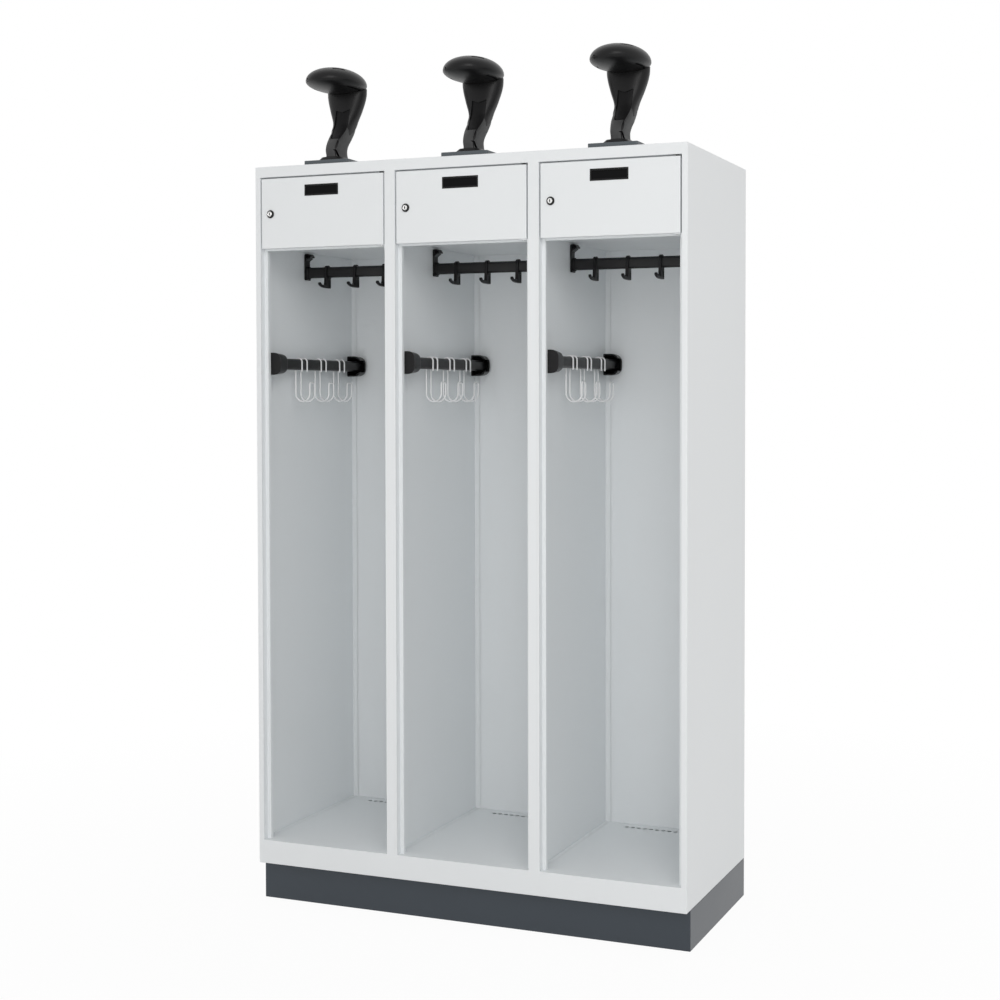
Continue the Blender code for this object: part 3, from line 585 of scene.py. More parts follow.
class LOCKER_OT_sheets(bpy.types.Operator):
    """Paint the back, walls and box floors, add the folded flanges, and build the floor with its vents"""

    bl_idname = "locker.sheets"
    bl_label = "Sheets"

    def execute(self, context):
        box_floors = (f"box_floor_{bay}" for bay in BAYS)
        for name in ("back_panel", "divider_panel_1", "divider_panel_2", *box_floors):
            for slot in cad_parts[name].material_slots:
                slot.material = PAINTS["light_grey_paint"]
        fold = WALL_REAR - FLANGE_SETBACK
        foot = FLOOR_TOP + CLEAR
        for bay in BAYS:
            left = bay_line(bay) + (SHEET / 2 if bay > 1 else SHEET)
            self.flange(f"back_flange_{bay}", (left, fold, foot),
                        (left + FLANGE_WIDTH, fold + SHEET, TOP - SHEET - CLEAR), "x")
            self.flange(f"floor_flange_{bay}", (left + CLEAR, FRAME_REAR + CLEAR, foot),
                        (left + FLOOR_FLANGE_WIDTH, fold - CLEAR, foot + SHEET), "xz")
        self.floor()
        return {"FINISHED"}

    def flange(self, name, low, high, axes):
        """A folded strip along a wall, with those edges rounded whose ends agree on some axes."""
        strip = new_piece(name, box_mesh("flange", low, high), "light_grey_paint")
        round_edges(strip, FLANGE_EDGE, same(axes), 2)
        complete(strip, "carcass", "light_grey_paint")

    def floor(self):
        """The floor sheet, with a row of vent holes near the back of each bay."""
        low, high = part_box("floor_panel")
        sheet = new_piece("floor_sheet", box_mesh("floor", low, high), "light_grey_paint")
        profile = [(VENT_RADIUS, 0), (VENT_RADIUS, high.z - low.z + 2 * SHEET)]

        def holes(made):
            for bay in BAYS:
                for place in VENT_PLACES:
                    spot = (bay_middle(bay) + place * VENT_PITCH, FRONT + VENT_DEPTH, low.z - SHEET)
                    add_turned(made, profile, spot, "Z", PIN_STEPS)

        shape(sheet, new_mesh("holes", holes))
        complete(sheet, "carcass", "light_grey_paint", "floor_panel")


class LOCKER_OT_plinth(bpy.types.Operator):
    """Build the folded ring that the carcass stands on"""

    bl_idname = "locker.plinth"
    bl_label = "Plinth"

    def execute(self, context):
        low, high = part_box("plinth")
        ring = new_piece("plinth_ring", box_mesh("plinth", low, high), "slate_grey_paint")
        round_edges(ring, PLINTH_CORNER, same("xy"))
        inset = Vector((PLINTH_WALL, PLINTH_WALL, -PLINTH_WALL))
        shape(ring, box_mesh("inside", low + inset, high - inset))
        round_edges(ring, PLINTH_LIP, same("z"), 1)
        complete(ring, "carcass", "slate_grey_paint", "plinth")
        return {"FINISHED"}


# Doors, hinges, name holders and locks

FINE_EDGE = 0.0003
DOOR_WALL = Vector((SHEET, SHEET, SHEET))

# Places on a door, from its edges and its front
RELIEF_IN = 0.022
RELIEF_DEEP = 0.012
PIN_IN = 0.009
PIN_DEEP = 0.008
PIN_HOLE = 0.0028
LABEL_DROP = 0.0347
WINDOW_HALF = Vector((0.0478, SHEET * 3, 0.0125))
LOCK_IN = 0.0275
LOCK_DROP = 0.093
LOCK_HOLE = 0.0083

# Hinges
BRACKET_SHEET = 0.0015
BRACKET_REACH = 0.0255
BRACKET_FRONT = 0.0015
BRACKET_REAR = 0.0145
BRACKET_CORNER = 0.004
TAB_DROP = 0.011
PIN_RADIUS = 0.0025
PIN_TIP = PIN_RADIUS * 0.7
PIN_GRIP = 0.006
PIN_TAPER = 0.0008
UPPER_PIN = ((PIN_TIP, 0), (PIN_RADIUS, PIN_TAPER), (PIN_RADIUS, 2 * PIN_GRIP + DOOR_GAP))
LOWER_PIN = ((PIN_RADIUS, -BRACKET_SHEET), (PIN_RADIUS, PIN_GRIP - PIN_TAPER), (PIN_TIP, PIN_GRIP))
PIN_HEAD = ((PIN_RADIUS * 1.5, -0.0012), (PIN_RADIUS * 1.7, -0.0006), (PIN_RADIUS * 1.7, 0))
BUSH = ((0.0034, CLEAR), (0.0046, CLEAR), (0.0046, DOOR_GAP - 2 * CLEAR), (0.0034, DOOR_GAP - CLEAR))

# Name holders
RIM_HALF = Vector((0.050, 0, 0.01475))
NECK_HALF = Vector((0.0476, 0, 0.0123))
POCKET_HALF = Vector((0.0462, 0, 0.0108))
CARD_HALF = Vector((0.0455, 0, 0.0100))
HOLDER_PROUD = Vector((0, 0.0007, 0))
HOLDER_BACK = Vector((0, 0.003, 0))
CARD_FRONT = HOLDER_BACK * 0.2
CARD_REAR = HOLDER_BACK * 0.32
RIM_EDGE = 0.0004
CARD_CORNER = 0.0008

# Locks, as (radius, depth behind the door's front) points
BEZEL = ((0.0104, -0.0004), (0.0107, -0.0008), (0.0107, -0.0016), (0.0094, -0.0032), (0.0083, -0.0034),
         (0.0070, -0.0034), (0.0067, -0.0030), (0.0067, -0.0004))
THREAD_TURNS = 9
THREAD_PITCH = 0.0016
BARREL = ((0.0062, -0.0055), (0.0065, -0.0051), (0.0065, 0.0005), (0.0079, 0.0008),
          *((radius, start + turn * THREAD_PITCH) for turn in range(THREAD_TURNS)
            for radius, start in ((0.0079, 0.0012), (0.0074, 0.0020))),
          (0.0076, 0.0160), (0.0057, 0.0160), (0.0057, -0.0051))
NUT = ((0.0105, 0.0012), (0.0112, 0.0017), (0.0112, 0.0037), (0.0105, 0.0042), (0.0076, 0.0042),
       (0.0076, 0.0012))
NUT_SIDES = 6
PLUG = ((0.0050, -0.0056), (0.0054, -0.0053), (0.0055, -0.0048))
PLUG_RADIUS = 0.0055
KEYHOLE_LOW = Vector((-0.0013, -0.0070, -0.0036))
KEYHOLE_HIGH = Vector((0.0013, -0.0020, 0.0036))
KEY_RADIUS = 0.0017
KEY_FRONT = Vector((0, -0.008, 0))
KEY_DEPTH = 0.0040
KEYHOLE_REACH = 0.0037
KEYHOLE_FRONT = -0.0055
CAM_SHEET = 0.002
CAM_TAPER = 0.006
CAM_TIP = 0.6


def label_place(bay):
    """Middle of the name window, on the front of a door."""
    low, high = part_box(f"door_{bay}")
    return Vector((bay_middle(bay), low.y, high.z - LABEL_DROP))


def lock_place(bay):
    """Middle of the lock, on the front of a door."""
    low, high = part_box(f"door_{bay}")
    return Vector((low.x + LOCK_IN, low.y, high.z - LOCK_DROP))


class LOCKER_OT_doors(bpy.types.Operator):
    """Build the three door pans with their folded edges, name windows, lock holes and hinge reliefs"""

    bl_idname = "locker.doors"
    bl_label = "Doors"

    def execute(self, context):
        sizes = context.scene.locker_sizes
        lip = Vector((sizes.door_return, 0, sizes.door_return))
        for bay in BAYS:
            low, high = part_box(f"door_{bay}")
            pan = new_piece(f"door_pan_{bay}", box_mesh("door", low, high), "light_grey_paint")
            round_edges(pan, sizes.door_edge, lambda a, b: not (near(a.y, high.y) and near(b.y, high.y)))
            shape(pan, box_mesh("hollow", low + DOOR_WALL, high - DOOR_WALL))
            shape(pan, box_mesh("through", low + lip + Vector((0, SHEET * 2, 0)),
                                high - lip + Vector((0, SHEET, 0))))
            relief = (high.x - RELIEF_IN, low.y + RELIEF_DEEP, low.z - SHEET)
            shape(pan, box_mesh("relief", relief, high + DOOR_WALL))
            pin = (high.x - PIN_IN, low.y + PIN_DEEP, low.z - SHEET)
            bore(pan, PIN_HOLE, pin, high.z - low.z + 2 * SHEET, "Z", BORE_STEPS)
            window = label_place(bay)
            shape(pan, box_mesh("window", window - WINDOW_HALF, window + WINDOW_HALF))
            bore(pan, LOCK_HOLE, lock_place(bay) - Vector((0, SHEET, 0)), SHEET * 4)
            complete(pan, f"box_door_{bay}", "light_grey_paint", f"door_{bay}")
        return {"FINISHED"}


class LOCKER_OT_hinges(bpy.types.Operator):
    """Build the pivot pins, their bushes and the bracket under each door's hinge edge"""

    bl_idname = "locker.hinges"
    bl_label = "Hinges"

    def execute(self, context):
        for bay in BAYS:
            low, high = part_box(f"door_{bay}")
            under = low.z - CLEAR
            self.bracket(bay, high.x + DOOR_GAP, under)
            pin = (high.x - PIN_IN, low.y + PIN_DEEP)

            def pins(made):
                for profile, height in ((UPPER_PIN, high.z - PIN_GRIP), (LOWER_PIN, low.z),
                                        (PIN_HEAD, under - BRACKET_SHEET)):
                    add_turned(made, profile, (*pin, height), "Z", PIN_STEPS)

            plain_piece(f"hinge_pins_{bay}", new_mesh("pins", pins), "lock_chrome", "carcass",
                        "lock_chrome")
            plain_piece(f"hinge_bush_{bay}", turned_mesh("bush", BUSH, (*pin, high.z), "Z", BORE_STEPS),
                        "black_plastic", "carcass", "black_plastic")
        return {"FINISHED"}

    def bracket(self, bay, edge, top):
        """The folded bracket under a door, with its tab against the opening's edge."""
        front = FRONT + BRACKET_FRONT
        rear = FRONT + BRACKET_REAR
        upright = same("xy")
        mesh = box_mesh("bracket", (edge - BRACKET_REACH, front, top - BRACKET_SHEET), (edge, rear, top))
        piece = new_piece(f"hinge_bracket_{bay}", mesh, "light_grey_paint")
        round_edges(piece, BRACKET_CORNER, lambda a, b: upright(a, b) and a.x < edge - SHEET)
        shape(piece, box_mesh("tab", (edge - BRACKET_SHEET, front, top - TAB_DROP),
                              (edge + CLEAR, rear, top - BRACKET_SHEET / 2)), "UNION")
        round_edges(piece, FINE_EDGE, lambda a, b: True, 1)
        complete(piece, "carcass", "light_grey_paint")


class LOCKER_OT_labels(bpy.types.Operator):
    """Build the black name holder in each door, with its blank card"""

    bl_idname = "locker.labels"
    bl_label = "Name holders"

    def execute(self, context):
        for bay in BAYS:
            middle = label_place(bay)
            mesh = box_mesh("rim", middle - RIM_HALF - HOLDER_PROUD, middle + RIM_HALF - HOLDER_PROUD / 8)
            holder = new_piece(f"name_holder_{bay}", mesh, "black_plastic")
            shape(holder, box_mesh("neck", middle - NECK_HALF - HOLDER_PROUD / 2,
                                   middle + NECK_HALF + HOLDER_BACK), "UNION")
            round_edges(holder, RIM_EDGE, lambda a, b: a.y < middle.y and b.y < middle.y, 2)
            shape(holder, box_mesh("pocket", middle - POCKET_HALF - HOLDER_PROUD * 3,
                                   middle + POCKET_HALF + HOLDER_BACK / 3))
            complete(holder, f"box_door_{bay}", "black_plastic")
            mesh = box_mesh("card", middle - CARD_HALF + CARD_FRONT, middle + CARD_HALF + CARD_REAR)
            card = new_piece(f"name_card_{bay}", mesh, "dull_plastic_and_painted_shade")
            round_edges(card, CARD_CORNER, same("xz"), 2)
            complete(card, f"box_door_{bay}", "black_plastic")
        return {"FINISHED"}


class LOCKER_OT_locks(bpy.types.Operator):
    """Build the cylinder locks: bezel, threaded barrel with its nut, and the plug with keyhole and cam"""

    bl_idname = "locker.locks"
    bl_label = "Locks"

    def execute(self, context):
        for bay in BAYS:
            centre = lock_place(bay)
            door = f"box_door_{bay}"
            plain_piece(f"lock_bezel_{bay}", turned_mesh("bezel", BEZEL, centre, loop=True),
                        "gloss_plastic", door, "black_plastic")
            plain_piece(f"lock_housing_{bay}", turned_mesh("barrel", BARREL, centre, loop=True),
                        "lock_chrome", door, "lock_chrome", f"lock_barrel_{bay}")
            plain_piece(f"lock_nut_{bay}", turned_mesh("nut", NUT, centre, steps=NUT_SIDES, loop=True),
                        "lock_chrome", door, "lock_chrome")
            cam_low, cam_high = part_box(f"lock_cam_{bay}")
            self.plug(bay, centre, cam_high.y - centre.y)
            self.cam(bay, centre, cam_low, cam_high)
        return {"FINISHED"}

    def plug(self, bay, centre, reach):
        """The turning plug, with painted shade of dull dark plastic inside its keyhole."""
        profile = (*PLUG, (PLUG_RADIUS, reach))
        plug = new_piece(f"lock_plug_{bay}", turned_mesh("plug", profile, centre), "lock_chrome")
        shape(plug, box_mesh("keyhole", centre + KEYHOLE_LOW, centre + KEYHOLE_HIGH))
        bore(plug, KEY_RADIUS, centre + KEY_FRONT, KEY_DEPTH, steps=PIN_STEPS)
        even(plug)
        # Painted shade: the keyhole's inner faces get the dull dark plastic in place of chrome.
        plug.data.materials.append(PAINTS["dull_plastic_and_painted_shade"])
        for face in plug.data.polygons:
            place = face.center - centre
            if place.xz.length < KEYHOLE_REACH and KEYHOLE_FRONT < place.y < 0:
                face.material_index = 1
        settle(plug, f"box_lock_cam_{bay}", "lock_chrome", f"lock_cam_{bay}")

    def cam(self, bay, centre, low, high):
        """The arm that turns behind the stile, round at the plug and narrower at its tip."""
        half = (high.x - low.x) / 2
        reach = high.z - centre.z
        outline = arc((0, 0), half, 180, 360, 12)
        outline += [(half, reach - CAM_TAPER), (half * CAM_TIP, reach), (-half * CAM_TIP, reach),
                    (-half, reach - CAM_TAPER)]
        front = Vector((centre.x, 0, centre.z))
        rings = rings_deep(front, (high.y - CAM_SHEET, outline), (high.y, outline))
        arm = new_piece(f"lock_arm_{bay}", loft_mesh("cam", rings), "lock_chrome")
        round_edges(arm, FINE_EDGE, same("y"), 1)
        complete(arm, f"box_lock_cam_{bay}", "lock_chrome")


# Rails and hooks

# Rails and the mounts of the coat rails, as (away from the wall, up) points
TUBE_OUTER = stadium(RAIL_RADIUS)
TUBE_INNER = stadium(RAIL_RADIUS - RAIL_WALL)
TUBE_FIT = stadium(RAIL_FIT)
COAT_RAIL_DROP = 0.0523
MOUNT_SHEET = 0.0035
MOUNT_HALF = 0.013
MOUNT = (
    (0, -0.0185), (0.001, -0.0205), (0.0045, -0.0205), (0.0055, -0.0195), (0.0055, -0.0165),
    (0.0040, -0.0145), (0.0036, -0.010), (0.0036, 0.030), (0.0048, 0.0335), (0.0120, 0.0385),
    (0.0190, 0.0428), (0.0195, 0.0440), (0.0180, 0.0465), (0.0150, 0.0508), (0.0125, 0.0523),
    (0.0030, 0.0523), (0.0008, 0.0512), (0, 0.0490))
MOUNT_EDGE = 0.0022
COLLAR = ((0.0010, 0.0030), (0.0095, 0.0030), (0.0110, 0.0024), (0.0118, 0.0012), (0.0118, 0.0002))
WAIST_OUT = 0.0115
WAIST_UP = 0.0445
WAIST_IN = 0.0032
WAIST_HALF = Vector((0.0055, 0.0045, 0.0042))

# Coat hooks, as (back, up) points from the middle of the rail, or from the front or rear of the strap
STRAP = 0.004
HOOK_OUTER = RAIL_FIT + STRAP
HOOK_EDGE = 0.0010
HOOK_TIP = (-0.0412, -0.0336)
HOOK_TIP_RADIUS = 0.0042
HOOK_FRONT = ((0.0, -0.0193), (-0.0006, -0.0290), (-0.0030, -0.0345), (-0.0085, -0.0374),
              (-0.0160, -0.0366), (-0.0235, -0.0335))
HOOK_BELOW = ((-0.0240, -0.0408), (-0.0155, -0.0432), (-0.0060, -0.0438), (0.0, -0.0440))
HOOK_REAR = ((-0.0025, -0.0440), (-0.0006, -0.0434), (0.0, -0.0420))
HOOK_SLIM = 0.22
HOOK_SLIM_START = 0.002
HOOK_SLIM_LENGTH = 0.012
SUNK_LOW = Vector((-0.0013, -0.0078, -0.0385))
SUNK_HIGH = Vector((0.0013, 0.0077, -0.0210))

# Holders of the side rails, the bell in front and the cup behind
HOLDER_SHARES = [step / 18 for step in range(19)]
HOLDER_END = 0.0095
HOLDER_WALL = 0.004
BELL_SHOULDER = 0.86
BELL_TAPER = 0.0036
BELL_LIP = 0.0012
BELL_LIP_DEPTH = 0.0008
BELL_CHAMFER = 0.001
BELL_SOCKET = 0.017
CUP_SHOULDER = 0.6
CUP_TAPER = 0.0008
CUP_LIP = 0.0006
HOLDER_SQUARE_LEFT = 0.14
HOLDER_SQUARE_RIGHT = 0.84
CUP_SLOT_HALF = 0.017
CUP_SLOT_DEPTH = 0.031

# Wire hooks, as (right, up) points from the middle of the rail
WIRE_RADIUS = 0.002
WIRE_OVER = RAIL_FIT + WIRE_RADIUS
WIRE_TAIL = ((WIRE_OVER - 0.0006, -0.0190), (WIRE_OVER, -0.0170), (WIRE_OVER, -0.0100))
WIRE_TIP = -0.0475 - WIRE_RADIUS
WIRE_CORNER = 0.006
WIRE_ROUNDING = 4
WIRE_SHARP_ANGLE = math.radians(50)


def tube_mesh(rings, centre, ends):
    """A mesh of a rail tube, with a function that places its outlines at both ends."""
    outer, inner = (rings(centre, *((end, outline) for end in ends))
                    for outline in (TUBE_OUTER, TUBE_INNER))
    return new_mesh("tube", lambda made: add_tube(made, outer, inner))


class LOCKER_OT_coat_rails(bpy.types.Operator):
    """Build the oval rail across each bay and the moulded wall bracket at each of its ends"""

    bl_idname = "locker.coat_rails"
    bl_label = "Coat rails"

    def execute(self, context):
        for bay in BAYS:
            low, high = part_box(f"coat_rail_{bay}")
            centre = Vector(((low.x + high.x) / 2, (low.y + high.y) / 2, high.z - COAT_RAIL_DROP))
            half = (high.x - low.x) / 2
            end = half - MOUNT_SHEET / 2
            plain_piece(f"coat_tube_{bay}", tube_mesh(rings_across, centre, (-end, end)), "black_rail",
                        "carcass", "black_rail", f"coat_rail_{bay}")
            for side, word in ((1, "left"), (-1, "right")):
                self.bracket(f"coat_bracket_{word}_{bay}", centre - Vector((side * half, 0, 0)), side)
        return {"FINISHED"}

    def bracket(self, name, foot, side):
        """A bracket with its plate on the wall at a point, reaching to one side."""
        profile = [(side * x, z) for x, z in MOUNT]
        body = rings_deep(foot, (-MOUNT_HALF, profile), (MOUNT_HALF, profile))
        piece = new_piece(name, loft_mesh("bracket", body), "black_plastic")
        flat = same("y")
        round_edges(piece, MOUNT_EDGE, lambda a, b: flat(a, b) and near(abs(a.y - foot.y), MOUNT_HALF))
        sleeve = rings_across(foot, *((side * x, stadium(RAIL_RADIUS + grow)) for x, grow in COLLAR))
        shape(piece, loft_mesh("sleeve", sleeve), "UNION")
        for sign in (-1, 1):
            spot = foot + Vector((side * WAIST_OUT, sign * (MOUNT_HALF - WAIST_IN), WAIST_UP))
            shape(piece, box_mesh("lightening", spot - WAIST_HALF, spot + WAIST_HALF))
        complete(piece, "carcass", "black_plastic")


class LOCKER_OT_coat_hooks(bpy.types.Operator):
    """Build the sliding coat hooks: a closed strap, a stem with sunk sides and an arm that curls forward"""

    bl_idname = "locker.coat_hooks"
    bl_label = "Coat hooks"

    def execute(self, context):
        for bay in BAYS:
            for hook in HOOKS:
                name = f"coat_hook_{bay}{hook}"
                low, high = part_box(name)
                centre = Vector(((low.x + high.x) / 2, high.y - HOOK_OUTER,
                                 high.z - RAIL_STRAIGHT - HOOK_OUTER))
                half = (high.x - low.x) / 2
                mesh = loft_mesh("hook", self.outlines(centre, half))
                piece = new_piece(f"sliding_{name}", mesh, "black_plastic")
                round_edges(piece, HOOK_EDGE, lambda a, b: (a.x - centre.x) * (b.x - centre.x) > 0)
                eye = rings_across(centre, (-2 * half, TUBE_FIT), (2 * half, TUBE_FIT))
                shape(piece, loft_mesh("eye", eye))
                for sign in (-1, 1):
                    spot = centre + Vector((sign * half, 0, 0))
                    shape(piece, box_mesh("sunk_side", spot + SUNK_LOW, spot + SUNK_HIGH))
                complete(piece, f"coat_hook_slider_{bay}{hook}", "black_plastic", name)
        return {"FINISHED"}

    def outlines(self, centre, half):
        """The hook's two sides, with its arm slimmer than its strap."""
        outline = arc((0, RAIL_STRAIGHT), HOOK_OUTER, 0, 180, 16)
        outline += [(y - HOOK_OUTER, z) for y, z in HOOK_FRONT]
        outline += arc(HOOK_TIP, HOOK_TIP_RADIUS, 50, 230, 9)
        outline += [(y - HOOK_OUTER, z) for y, z in HOOK_BELOW]
        outline += [(y + HOOK_OUTER, z) for y, z in HOOK_REAR]
        sides = []
        for side in (-half, half):
            ring = []
            for y, z in outline:
                share = (-HOOK_OUTER - HOOK_SLIM_START - y) / HOOK_SLIM_LENGTH
                slim = 1.0 - HOOK_SLIM * min(1.0, max(0.0, share))
                ring.append((centre.x + side * slim, centre.y + y, centre.z + z))
            sides.append(ring)
        return sides


def holder_radius(share, mouth, shoulder, taper):
    """Half width of a side rail's holder, at a share of its depth."""
    if share <= shoulder:
        return mouth - taper * share / shoulder
    turn = (share - shoulder) / (1 - shoulder)
    return HOLDER_END + (mouth - taper - HOLDER_END) * math.sqrt(max(0.0, 1 - turn ** 2))


def holder_rings(mouth_centre, profile, depth):
    """Sections of a holder: nearly square at the left of its mouth and round at the tube."""
    sections = []
    for wide, deep in profile:
        share = deep / depth if wide > RAIL_FIT + CLEAR else 1.0
        fade = min(1.0, share) ** 2
        left, right = (square + (1 - square) * fade for square in (HOLDER_SQUARE_LEFT, HOLDER_SQUARE_RIGHT))
        sections.append((deep, stadium(wide, left=left, right=right)))
    return rings_deep(mouth_centre, *sections)


class LOCKER_OT_side_rails(bpy.types.Operator):
    """Build the oval rail along each left wall, its bell-shaped front holder and its open rear holder"""

    bl_idname = "locker.side_rails"
    bl_label = "Side rails"

    def execute(self, context):
        for bay in BAYS:
            low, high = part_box(f"side_rail_{bay}")
            front_low, front_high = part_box(f"rail_holder_front_{bay}")
            rear_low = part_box(f"rail_holder_rear_{bay}")[0]
            centre = (front_low + front_high) / 2
            centre.y = 0
            plain_piece(f"side_tube_{bay}", tube_mesh(rings_deep, centre, (low.y, high.y)), "black_rail",
                        "carcass", "black_rail", f"side_rail_{bay}")
            depth = front_high.y - front_low.y
            mouth = front_high.z - centre.z - RAIL_STRAIGHT
            self.bell(bay, centre + Vector((0, front_low.y, 0)), mouth, depth)
            self.cup(bay, centre + Vector((0, rear_low.y, 0)), mouth, depth)
        return {"FINISHED"}

    def bell(self, bay, centre, mouth, depth):
        """The closed front holder, with a socket for the tube in its rear."""
        profile = [(mouth - BELL_LIP, 0.0), (mouth, BELL_LIP_DEPTH)]
        profile += [(holder_radius(share, mouth, BELL_SHOULDER, BELL_TAPER), share * depth)
                    for share in HOLDER_SHARES[1:]]
        profile += [(HOLDER_END - BELL_LIP_DEPTH, depth), (RAIL_FIT, depth - BELL_CHAMFER),
                    (RAIL_FIT, BELL_SOCKET)]
        plain_piece(f"front_holder_{bay}", loft_mesh("bell", holder_rings(centre, profile, depth)),
                    "black_plastic", "carcass", "black_plastic", f"rail_holder_front_{bay}")

    def cup(self, bay, centre, mouth, depth):
        """The hollow rear holder, open to the front and on its right."""
        radii = [holder_radius(share, mouth, CUP_SHOULDER, CUP_TAPER) for share in HOLDER_SHARES]
        inner_depth = depth - HOLDER_WALL
        profile = [(wide, share * depth) for wide, share in reversed(list(zip(radii, HOLDER_SHARES))[1:])]
        profile += [(mouth, CUP_LIP), (mouth - CUP_LIP, 0.0), (mouth - HOLDER_WALL + CUP_LIP, 0.0)]
        profile += [(wide - HOLDER_WALL, share * inner_depth)
                    for wide, share in zip(radii, HOLDER_SHARES[:-3])]
        profile += [(RAIL_FIT, inner_depth)]
        mesh = loft_mesh("cup", holder_rings(centre, profile, depth))
        piece = new_piece(f"rear_holder_{bay}", mesh, "gloss_plastic")
        shape(piece, box_mesh("slot", centre - Vector((0, SHEET, CUP_SLOT_HALF)),
                              centre + Vector((2 * mouth, CUP_SLOT_DEPTH, CUP_SLOT_HALF))))
        complete(piece, "carcass", "black_plastic", f"rail_holder_rear_{bay}")


class LOCKER_OT_wire_hooks(bpy.types.Operator):
    """Bend the sliding double hooks from pale wire"""

    bl_idname = "locker.wire_hooks"
    bl_label = "Wire hooks"

    def execute(self, context):
        for bay in BAYS:
            for hook in HOOKS:
                name = f"wire_hook_{bay}{hook}"
                low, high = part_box(name)
                centre = Vector((low.x + WIRE_OVER + WIRE_RADIUS, (low.y + high.y) / 2,
                                 high.z - RAIL_STRAIGHT - WIRE_OVER - WIRE_RADIUS))
                mesh = self.wire([centre + Vector(spot) for spot in self.path(low, high, centre)])
                piece = new_piece(f"sliding_{name}", mesh, "pale_wire")
                even(piece, WIRE_SHARP_ANGLE)
                settle(piece, f"wire_hook_slider_{bay}{hook}", "pale_wire", name)
        return {"FINISHED"}

    def wire(self, path):
        """A mesh of round wire along a path."""
        curve = bpy.data.curves.new("wire", "CURVE")
        curve.dimensions = "3D"
        curve.bevel_depth = WIRE_RADIUS
        curve.bevel_resolution = WIRE_ROUNDING
        curve.use_fill_caps = True
        spline = curve.splines.new("POLY")
        spline.points.add(len(path) - 1)
        for point, spot in zip(spline.points, path):
            point.co = (*spot, 1.0)
        bent = bpy.data.objects.new("wire", curve)
        bpy.context.scene.collection.objects.link(bent)
        graph = bpy.context.evaluated_depsgraph_get()
        mesh = bpy.data.meshes.new_from_object(bent.evaluated_get(graph))
        bpy.data.objects.remove(bent)
        return mesh

    def path(self, low, high, centre):
        """The wire's path from one tail over the rail, round the bow and back on the other side."""
        bow = (high.x - low.x) / 2 - WIRE_RADIUS
        half = (high.y - low.y) / 2 - WIRE_RADIUS
        floor = low.z + WIRE_RADIUS + bow - centre.z
        side = list(WIRE_TAIL)
        side += arc((0, RAIL_STRAIGHT), WIRE_OVER, 0, 180, 20)
        side += arc((bow - WIRE_OVER, floor), bow, 180, 360, 28)
        reach = 2 * bow - WIRE_OVER
        bend = [(reach, deep, up) for deep, up in
                arc((WIRE_CORNER - half, WIRE_TIP - WIRE_CORNER), WIRE_CORNER, 180, 90, 8)]
        first = [(across, -half, up) for across, up in side]
        second = [(across, half, up) for across, up in reversed(side)]
        return first + bend + [(across, -deep, up) for across, deep, up in reversed(bend)] + second


# Helmet holders

# Stem, as (height, half width, front, rear), with depths from the locker's front
STEM_LEVELS = (
    (0.0000, 0.0385, 0.0385, 0.1415), (0.0030, 0.0385, 0.0385, 0.1415), (0.0092, 0.0315, 0.0410, 0.1350),
    (0.0104, 0.0300, 0.0420, 0.1330), (0.0110, 0.0195, 0.0466, 0.1170), (0.0300, 0.0205, 0.0445, 0.1100),
    (0.0465, 0.0235, 0.0530, 0.1150), (0.0620, 0.0272, 0.0677, 0.1246), (0.0830, 0.0284, 0.0852, 0.1400),
    (0.1060, 0.0300, 0.0970, 0.1510), (0.1400, 0.0430, 0.1028, 0.1586), (0.1760, 0.0540, 0.1045, 0.1655),
    (0.2000, 0.0565, 0.1060, 0.1660))
STEM_HEIGHT = 0.200
STEM_STEPS = 48
FOOT_ROUNDNESS = 0.42
HEAD_ROUNDNESS = 0.94
LEVEL_STEPS = 5
SHORT_LEVEL = 0.004

# Panel rows as (right, up), and the other rows as (back, up)
PANEL_FOOT = ((-0.0135, 0.0640), (-0.0030, 0.0628), (0.0080, 0.0620), (0.0152, 0.0600))
PANEL_WAIST = ((-0.0190, 0.0900), (-0.0060, 0.0890), (0.0080, 0.0880), (0.0205, 0.0880))
PANEL_HEAD = ((-0.0160, 0.1415), (0.0028, 0.1352), (0.0040, 0.1352), (0.0245, 0.1430))
PANEL_ENDS = (-0.010, 0.118)
PANEL_DEPTH = 0.0030
FACET_FOOT = ((0.0380, 0.0120), (0.0700, 0.0120), (0.1000, 0.0120), (0.1300, 0.0120))
FACET_HEAD = ((0.0905, 0.1075), (0.0925, 0.1040), (0.1012, 0.0736), (0.1480, 0.1060))
FACET_ENDS = (0.0155, 0.070)
FACET_DEPTH = 0.0012
SLOT_ROWS = (((0.0450, 0.0295), (0.0500, 0.0295)), ((0.0490, 0.0205), (0.0575, 0.0205)),
             ((0.0570, 0.0112), (0.0670, 0.0112)))
SLOT_ENDS = (0.008, 0.060)
SLOT_DEPTH = 0.0050
SHIN = ((-0.040, -0.010, 0.0120), (0.0130, 0.100, 0.0612))
SHIN_DEPTH = 0.0008
LINE_ACROSS = ((-0.0120, -0.010, 0.0618), (0.0095, 0.080, 0.0634))
LINE_ACROSS_DEPTH = 0.0052
LINE_DOWN = ((0.0042, -0.010, 0.0300), (0.0068, 0.070, 0.0600))
LEDGE = ((0.0042, -0.010, 0.0288), (0.0162, 0.070, 0.0308))
LINE_DOWN_DEPTH = 0.0050

